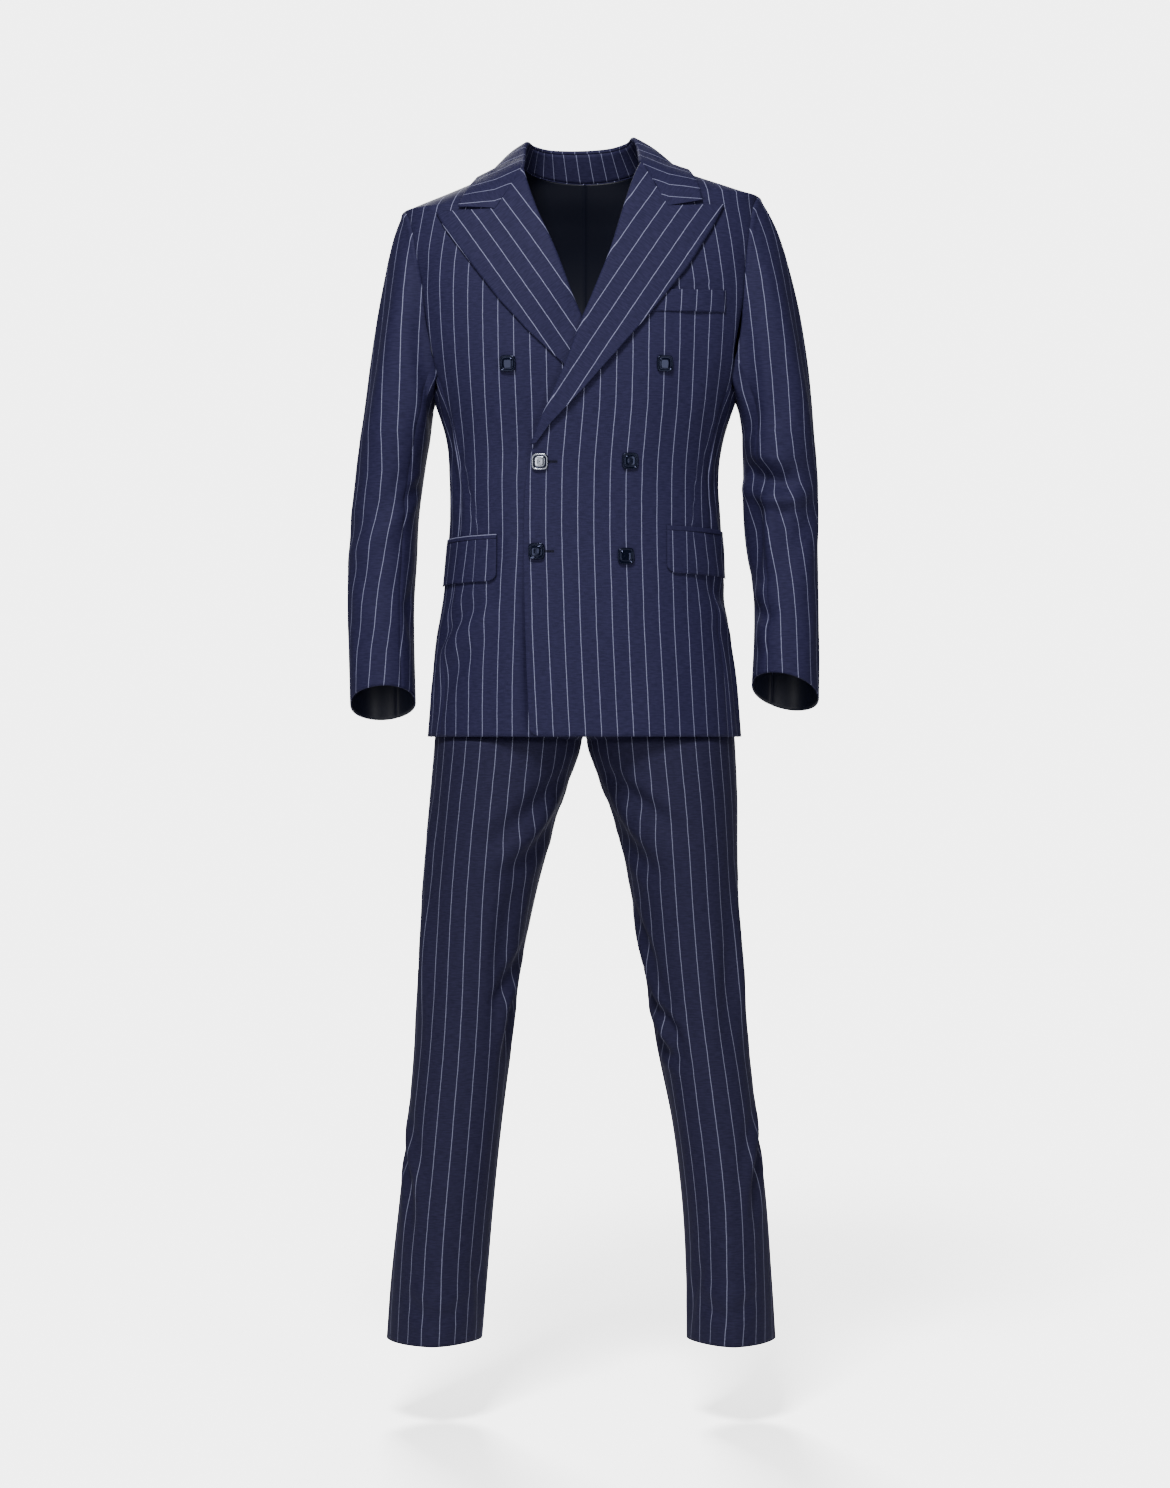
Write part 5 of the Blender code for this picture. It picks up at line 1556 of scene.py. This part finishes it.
def worsted(name, ground, shade, stripe, pitch):
    """Worsted wool suiting: long combed fibres spun tight and woven in a fine twill, then sheared
    close. Light sinks in between the yarns, so the ground stays deep and even, with small slubs along
    the weft, a broad dull gloss and a faint bloom of fibre ends where it turns away. Every pitch, one
    or two pale warp yarns stand a little proud and read as a thin, slightly broken chalk line."""
    made = bpy.data.materials.new(name)
    made.use_nodes = True
    tree = made.node_tree
    shader = tree.nodes["Principled BSDF"]
    place = add(tree, "ShaderNodeUVMap", {"uv_map": "grain"})
    parts = add(tree, "ShaderNodeSeparateXYZ", {}, {"Vector": place.outputs[0]})

    def maths(operation, a, b=0.0, c=0.0):
        node = add(tree, "ShaderNodeMath", {"operation": operation}, {0: a, 1: b, 2: c})
        return node.outputs[0]

    def uneven(where, scale, detail, roughness=0.5, **settings):
        inputs = {"Vector": where, "Scale": scale, "Detail": detail, "Roughness": roughness}
        return add(tree, "ShaderNodeTexNoise", settings, inputs).outputs["Fac"]

    def blend(share, first, second):
        inputs = {"Factor": share, "A": first, "B": second}
        return add(tree, "ShaderNodeMix", {"data_type": "RGBA"}, inputs).outputs["Result"]

    wander = uneven(place.outputs[0], WANDER_SCALE, 1.0, noise_dimensions="2D")
    shift = maths("MULTIPLY_ADD", wander, WANDER * MM, -WANDER / 2 * MM)
    across = maths("ADD", parts.outputs["X"], shift)
    turns = maths("DIVIDE", across, pitch * MM)
    off = maths("ABSOLUTE", maths("SUBTRACT", maths("FRACT", maths("ADD", turns, 0.5)), 0.5))
    start, end = (STRIPE_WIDTH / 2 / pitch * share for share in STRIPE_SOFT)
    line = add(
        tree,
        "ShaderNodeMapRange",
        {"interpolation_type": "SMOOTHSTEP"},
        {"Value": off, "From Min": end, "From Max": start},
    )
    yarn = uneven(place.outputs[0], YARN_SCALE, 2.0, 0.6)
    mark = maths("MULTIPLY", line.outputs[0], maths("MULTIPLY_ADD", yarn, *YARN_TONE))

    diagonal = maths("ADD", parts.outputs["X"], parts.outputs["Y"])
    twill = maths("SINE", maths("MULTIPLY", diagonal, 2 * math.pi / (TWILL * MM)))
    longer = {"Vector": place.outputs[0], "Scale": (1000 / SLUB, 1000 / SLUB_HIGH, 1.0)}
    stretched = add(tree, "ShaderNodeMapping", {}, longer)
    slub = uneven(stretched.outputs[0], 1.0, 2.0)
    blotch = uneven(place.outputs[0], BLOTCH_SCALE, 3.0)
    tone = maths("MULTIPLY_ADD", slub, *SLUB_TONE)
    tone = maths("MULTIPLY_ADD", blotch, BLOTCH_TONE, tone)
    tone = maths("MULTIPLY_ADD", twill, TWILL_TONE, tone)
    colour = blend(mark, blend(tone, linear(shade), linear(ground)), linear(stripe))
    tree.links.new(colour, shader.inputs["Base Color"])
    tree.links.new(maths("MULTIPLY_ADD", slub, *SLUB_ROUGH), shader.inputs["Roughness"])
    height = maths("MULTIPLY_ADD", twill, TWILL_RELIEF, maths("MULTIPLY", slub, SLUB_RELIEF))
    height = maths("ADD", height, maths("MULTIPLY", mark, STRIPE_RELIEF))
    relief = {"Height": height, "Strength": 0.5, "Distance": BUMP_DEPTH * MM}
    bump = add(tree, "ShaderNodeBump", {}, relief)
    tree.links.new(bump.outputs[0], shader.inputs["Normal"])
    shader.inputs["Specular IOR Level"].default_value = 0.22
    shader.inputs["Sheen Weight"].default_value = 0.03
    shader.inputs["Sheen Roughness"].default_value = 0.4
    shader.inputs["Sheen Tint"].default_value = linear("#8C8CC8")
    return made


# ---------------------------------------------------------------- buttons and thread

# Section of a button from its back to its middle: share of its half width, height off the cloth
BUTTON_SECTION = (
    (0.80, 0.6),
    (0.93, 1.0),
    (1.0, 1.8),
    (1.0, 3.2),
    (0.97, 4.0),
    (0.90, 4.4),
    (0.83, 4.2),
    (0.79, 3.6),
    (0.72, 3.3),
    (0.64, 3.4),
    (0.60, 3.8),
    (0.54, 4.0),
    (0.30, 3.9),
    (0.05, 3.9),
)
RIM_LEVELS = (4, 5, 6, 10, 11, 12)  # faces that start at these places are plated, if there is a rim
BUTTON_AROUND = 48
BUTTON_SQUARE = 4.2  # how square a button's outline is


def button(name, look, rim):
    """Stepped button with a raised rounded-square rim and a plain middle."""
    x, z = BUTTONS[name]
    side = 1 if name.endswith("left") or x > between(FRONT_EDGE, z, 1) else -1
    normal = outward(x, z)
    turn = normal.to_track_quat("Z", "Y").to_matrix().to_4x4()
    turn.translation = cloth_point(x, z, side, 0.0)
    mesh = bmesh.new()
    rings = []
    for share, height in BUTTON_SECTION:
        ring = []
        for k in range(BUTTON_AROUND):
            a = 2 * math.pi * (k + 0.5) / BUTTON_AROUND
            c, s = math.cos(a), math.sin(a)
            r = square_reach(c, s, BUTTON_SQUARE) * (BUTTON_SIZE / 2 * share)
            ring.append(mesh.verts.new(turn @ Vector((r * c, r * s, height))))
        rings.append(ring)
    for low, high in zip(rings, rings[1:]):
        for k in range(BUTTON_AROUND):
            n = (k + 1) % BUTTON_AROUND
            face = mesh.faces.new((low[k], low[n], high[n], high[k]))
            face.smooth = True
    mesh.faces.new(rings[-1])
    mesh.faces.new(rings[0][::-1])
    if rim:
        for face in mesh.faces:
            level = max(k for k, ring in enumerate(rings) if face.verts[0] in ring)
            face.material_index = 1 if level in RIM_LEVELS else 0
    bmesh.ops.scale(mesh, vec=(MM, MM, MM), verts=mesh.verts)
    data = bpy.data.meshes.new(name)
    mesh.to_mesh(data)
    mesh.free()
    data.materials.append(look)
    if rim:
        data.materials.append(rim)
    piece = linked(name, data)
    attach(piece, "root")
    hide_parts(name)
    return piece


def stitch_tree(look):
    """Geometry Nodes: short thread stitches set end to end along curves, each laid on the cloth."""
    tree = bpy.data.node_groups.new("thread_stitches", "GeometryNodeTree")
    tree.interface.new_socket("Geometry", in_out="INPUT", socket_type="NodeSocketGeometry")
    for title in ("Spacing", "Length", "Thickness"):
        tree.interface.new_socket(title, in_out="INPUT", socket_type="NodeSocketFloat")
    tree.interface.new_socket("Geometry", in_out="OUTPUT", socket_type="NodeSocketGeometry")
    start = add(tree, "NodeGroupInput")
    path = add(tree, "GeometryNodeMeshToCurve", {}, {"Mesh": start.outputs["Geometry"]})
    spots = add(
        tree,
        "GeometryNodeCurveToPoints",
        {"mode": "LENGTH"},
        {"Curve": path.outputs[0], "Length": start.outputs["Spacing"]},
    )
    bead = add(tree, "GeometryNodeMeshUVSphere", {}, {"Segments": 6, "Rings": 4, "Radius": 0.5})
    thick, long = start.outputs["Thickness"], start.outputs["Length"]
    size = add(tree, "ShaderNodeCombineXYZ", {}, {"X": thick, "Y": thick, "Z": long})
    laid = add(
        tree,
        "GeometryNodeInstanceOnPoints",
        {},
        {
            "Points": spots.outputs["Points"],
            "Instance": bead.outputs["Mesh"],
            "Rotation": spots.outputs["Rotation"],
            "Scale": size.outputs[0],
        },
    )
    real = add(tree, "GeometryNodeRealizeInstances", {}, {"Geometry": laid.outputs[0]})
    finished = {"Geometry": real.outputs[0], "Material": look}
    done = add(tree, "GeometryNodeSetMaterial", {}, finished)
    end = add(tree, "NodeGroupOutput")
    tree.links.new(done.outputs[0], end.inputs[0])
    return tree


def stitches(name, lines, tree, spacing, length, thickness):
    """Thread along lines of points in millimetres."""
    mesh = bpy.data.meshes.new(name)
    points, edges = [], []
    for line in lines:
        first = len(points)
        points += [Vector(p) * MM for p in line]
        edges += [(k, k + 1) for k in range(first, len(points) - 1)]
    mesh.from_pydata(points, edges, [])
    guide = linked(name + "_guide", mesh)
    nodes = guide.modifiers.new("stitches", "NODES")
    nodes.node_group = tree
    sizes = {"Spacing": spacing, "Length": length, "Thickness": thickness}
    for item in tree.interface.items_tree:
        if item.in_out == "INPUT" and item.name in sizes:
            nodes[item.identifier] = sizes[item.name] * MM
    view = bpy.context.evaluated_depsgraph_get()
    made = bpy.data.meshes.new_from_object(guide.evaluated_get(view))
    bpy.data.objects.remove(guide)
    made.name = name
    piece = linked(name, made)
    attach(piece, "root")
    return piece


# ---------------------------------------------------------------- the suit

# Worsted wool of the jacket, dyed in the piece: deep navy with a cool, pale stripe
WOOL = worsted("navy_pinstripe_worsted", "#302E52", "#222143", "#A3A5C9", PITCH)
# The same worsted cut for the trousers: its stripes lie a little further apart. Its ground, dark tone
# and stripe are darker copies of the jacket's colours: painted shade for the legs, which lie lower and
# get less of the light from above
TROUSER_WOOL_PAINTED_SHADE = worsted("navy_pinstripe_trouser_worsted", "#2D2B4A", "#201F3C", "#9799B8", LEG_PITCH)
# Viscose twill lining, woven from smooth filament: darker than the wool, with a satin gloss
LINING = plain("navy_twill_lining", "#171A2C", 0.45)
# Cast polyester resin, tumbled till it shines: almost black, with small sharp bluish highlights
BUTTON_RESIN = plain(
    "black_navy_polished_resin", "#060A1C", 0.1, Specular_IOR_Level=0.5, Specular_Tint=linear("#C3CCFF")
)
# Nickel plated over the stamped rim and polished: mirrors the lamps in thin bright lines
RIM_METAL = plain("polished_nickel_rim", "#B9BECC", 0.2, Metallic=1.0)
# Twisted navy silk thread, smoother than the wool and much darker than its ground, so each stitch is a
# soft dark dot
THREAD = plain("navy_silk_thread", "#12132A", 0.45)

LINED = (WOOL, LINING)
TROUSER_LOOKS = (TROUSER_WOOL_PAINTED_SHADE, LINING)

for side in (1, -1):
    jacket_front(side, LINED)
    jacket_side(side, LINED)
    jacket_back(side, LINED)
    lapel(side, (WOOL,))
    sleeve(side, "top", SLEEVE_BACK_SEAM, SLEEVE_FRONT_SEAM, LINED)
    sleeve(side, "under", SLEEVE_FRONT_SEAM, 360 + SLEEVE_BACK_SEAM, LINED)
    pockets(side, (WOOL,))
    trouser_panel(side, False, TROUSER_LOOKS)
    trouser_panel(side, True, TROUSER_LOOKS)
    waistband(side, TROUSER_LOOKS)
collar_fall((WOOL,))
collar_stand((WOOL,))
chest_welt((WOOL,))
for name in BUTTONS:
    button(name, BUTTON_RESIN, RIM_METAL if name == "button_middle_right" else None)

PICK_IN = 5.5  # pick stitches run this far in from the edges
# Picked edges: piece, edge, and the shares of it where the stitches start and end
PICKED = (
    ("jacket_front_left", "first", 0.45, 0.995),
    ("lapel_left", "last", 0.0, 0.97),
    ("lapel_right", "last", 0.0, 0.97),
    ("lapel_left", "top", 0.35, 0.95),
    ("lapel_right", "top", 0.35, 0.95),
    ("collar_fall", "last", 0.01, 0.99),
    ("pocket_flap_left", "bottom", 0.0, 1.0),
    ("pocket_flap_right", "bottom", 0.0, 1.0),
    ("chest_welt", "bottom", 0.03, 0.97),
)
STITCHING = stitch_tree(THREAD)
stitches(
    "pick_stitches",
    [inset(name, edge, PICK_IN, first, last) for name, edge, first, last in PICKED],
    STITCHING,
    spacing=6.0,
    length=1.7,
    thickness=0.45,
)

# Buttonholes in the left front, beside the two buttons at its edge: each is a slit edged with
# close purl stitches, from the button outwards
HOLE_START = 4.0  # out from the button's middle
HOLE_LENGTH, HOLE_OPEN = 16.5, 0.75  # and half the distance between its two rows of stitches
HOLE_PROUD = 0.3  # how far its stitches stand off the cloth
HOLE_STEPS = 12
holes = []
for name in ("button_middle_right", "button_lower_right"):
    x, z = BUTTONS[name]
    for up in (-HOLE_OPEN, HOLE_OPEN):
        ends = (x + HOLE_START, x + HOLE_START + HOLE_LENGTH)
        outs = [mix(*ends, k / HOLE_STEPS) for k in range(HOLE_STEPS + 1)]
        line = [on_cloth("jacket_front_left", out, z + up) for out in outs]
        holes.append([(px, py - HOLE_PROUD, pz) for px, py, pz in line])
stitches("buttonholes", holes, STITCHING, spacing=0.8, length=1.0, thickness=1.25)


# ---------------------------------------------------------------- studio

FLOOR_Z = -1.56  # in metres, as is all of the studio
ROOM_LIGHT = 0.09
BACKDROP = 5.0  # how bright the camera sees the room behind the suit


# Softboxes: place, the point that each faces, its width and height, and its power in watts
LAMPS = (
    ("key_softbox", (-0.45, -2.15, 1.8), (0, 0, -0.4), (0.8, 0.8), 74),
    ("left_softbox", (-1.8, -3.4, -0.5), (0, 0, -0.9), (1.0, 1.8), 17),
    ("right_softbox", (1.8, -3.4, -0.5), (0, 0, -0.9), (1.0, 1.8), 19),
    ("back_key_softbox", (-0.5, 2.5, 1.7), (0, 0, -0.4), (0.9, 0.9), 70),
    ("back_fill_softbox", (1.0, 3.6, -0.5), (0, 0, -0.8), (1.0, 2.0), 18),
)


def studio_light(name, place, aim, size, power):
    data = bpy.data.lights.new(name, "AREA")
    data.shape = "RECTANGLE"
    data.size, data.size_y = size
    data.energy = power
    lamp = linked(name, data)
    lamp.location = place
    lamp.rotation_euler = (Vector(aim) - Vector(place)).to_track_quat("-Z", "Y").to_euler()


def studio():
    world = bpy.data.worlds.new("white_studio")
    bpy.context.scene.world = world
    world.use_nodes = True
    tree = world.node_tree
    tree.nodes.clear()
    ray = add(tree, "ShaderNodeLightPath")
    lit = add(tree, "ShaderNodeBackground", {}, {"Color": (1, 1, 1, 1), "Strength": ROOM_LIGHT})
    seen = add(tree, "ShaderNodeBackground", {}, {"Color": (1, 1, 1, 1), "Strength": BACKDROP})
    choice = {0: ray.outputs["Is Camera Ray"], 1: lit.outputs[0], 2: seen.outputs[0]}
    both = add(tree, "ShaderNodeMixShader", {}, choice)
    add(tree, "ShaderNodeOutputWorld", {}, {"Surface": both.outputs[0]})
    mesh = bpy.data.meshes.new("floor")
    corners = [(-6, -6, FLOOR_Z), (6, -6, FLOOR_Z), (6, 8, FLOOR_Z), (-6, 8, FLOOR_Z)]
    mesh.from_pydata(corners, [], [(0, 1, 2, 3)])
    # Uncoated paper roll: matt and near white, it takes only the shadow
    mesh.materials.append(plain("white_paper_floor", "#F4F4F4", 0.9))
    floor = linked("floor", mesh)
    floor.is_shadow_catcher = True
    for lamp in LAMPS:
        studio_light(*lamp)
    data = bpy.data.cameras.new("camera")
    data.sensor_width = 36.0
    data.lens = 77.4
    camera = linked("camera", data)
    camera.location = (0.0006, -4.0, -0.715)
    camera.rotation_euler = (math.radians(90), 0, 0)
    bpy.context.scene.camera = camera


studio()
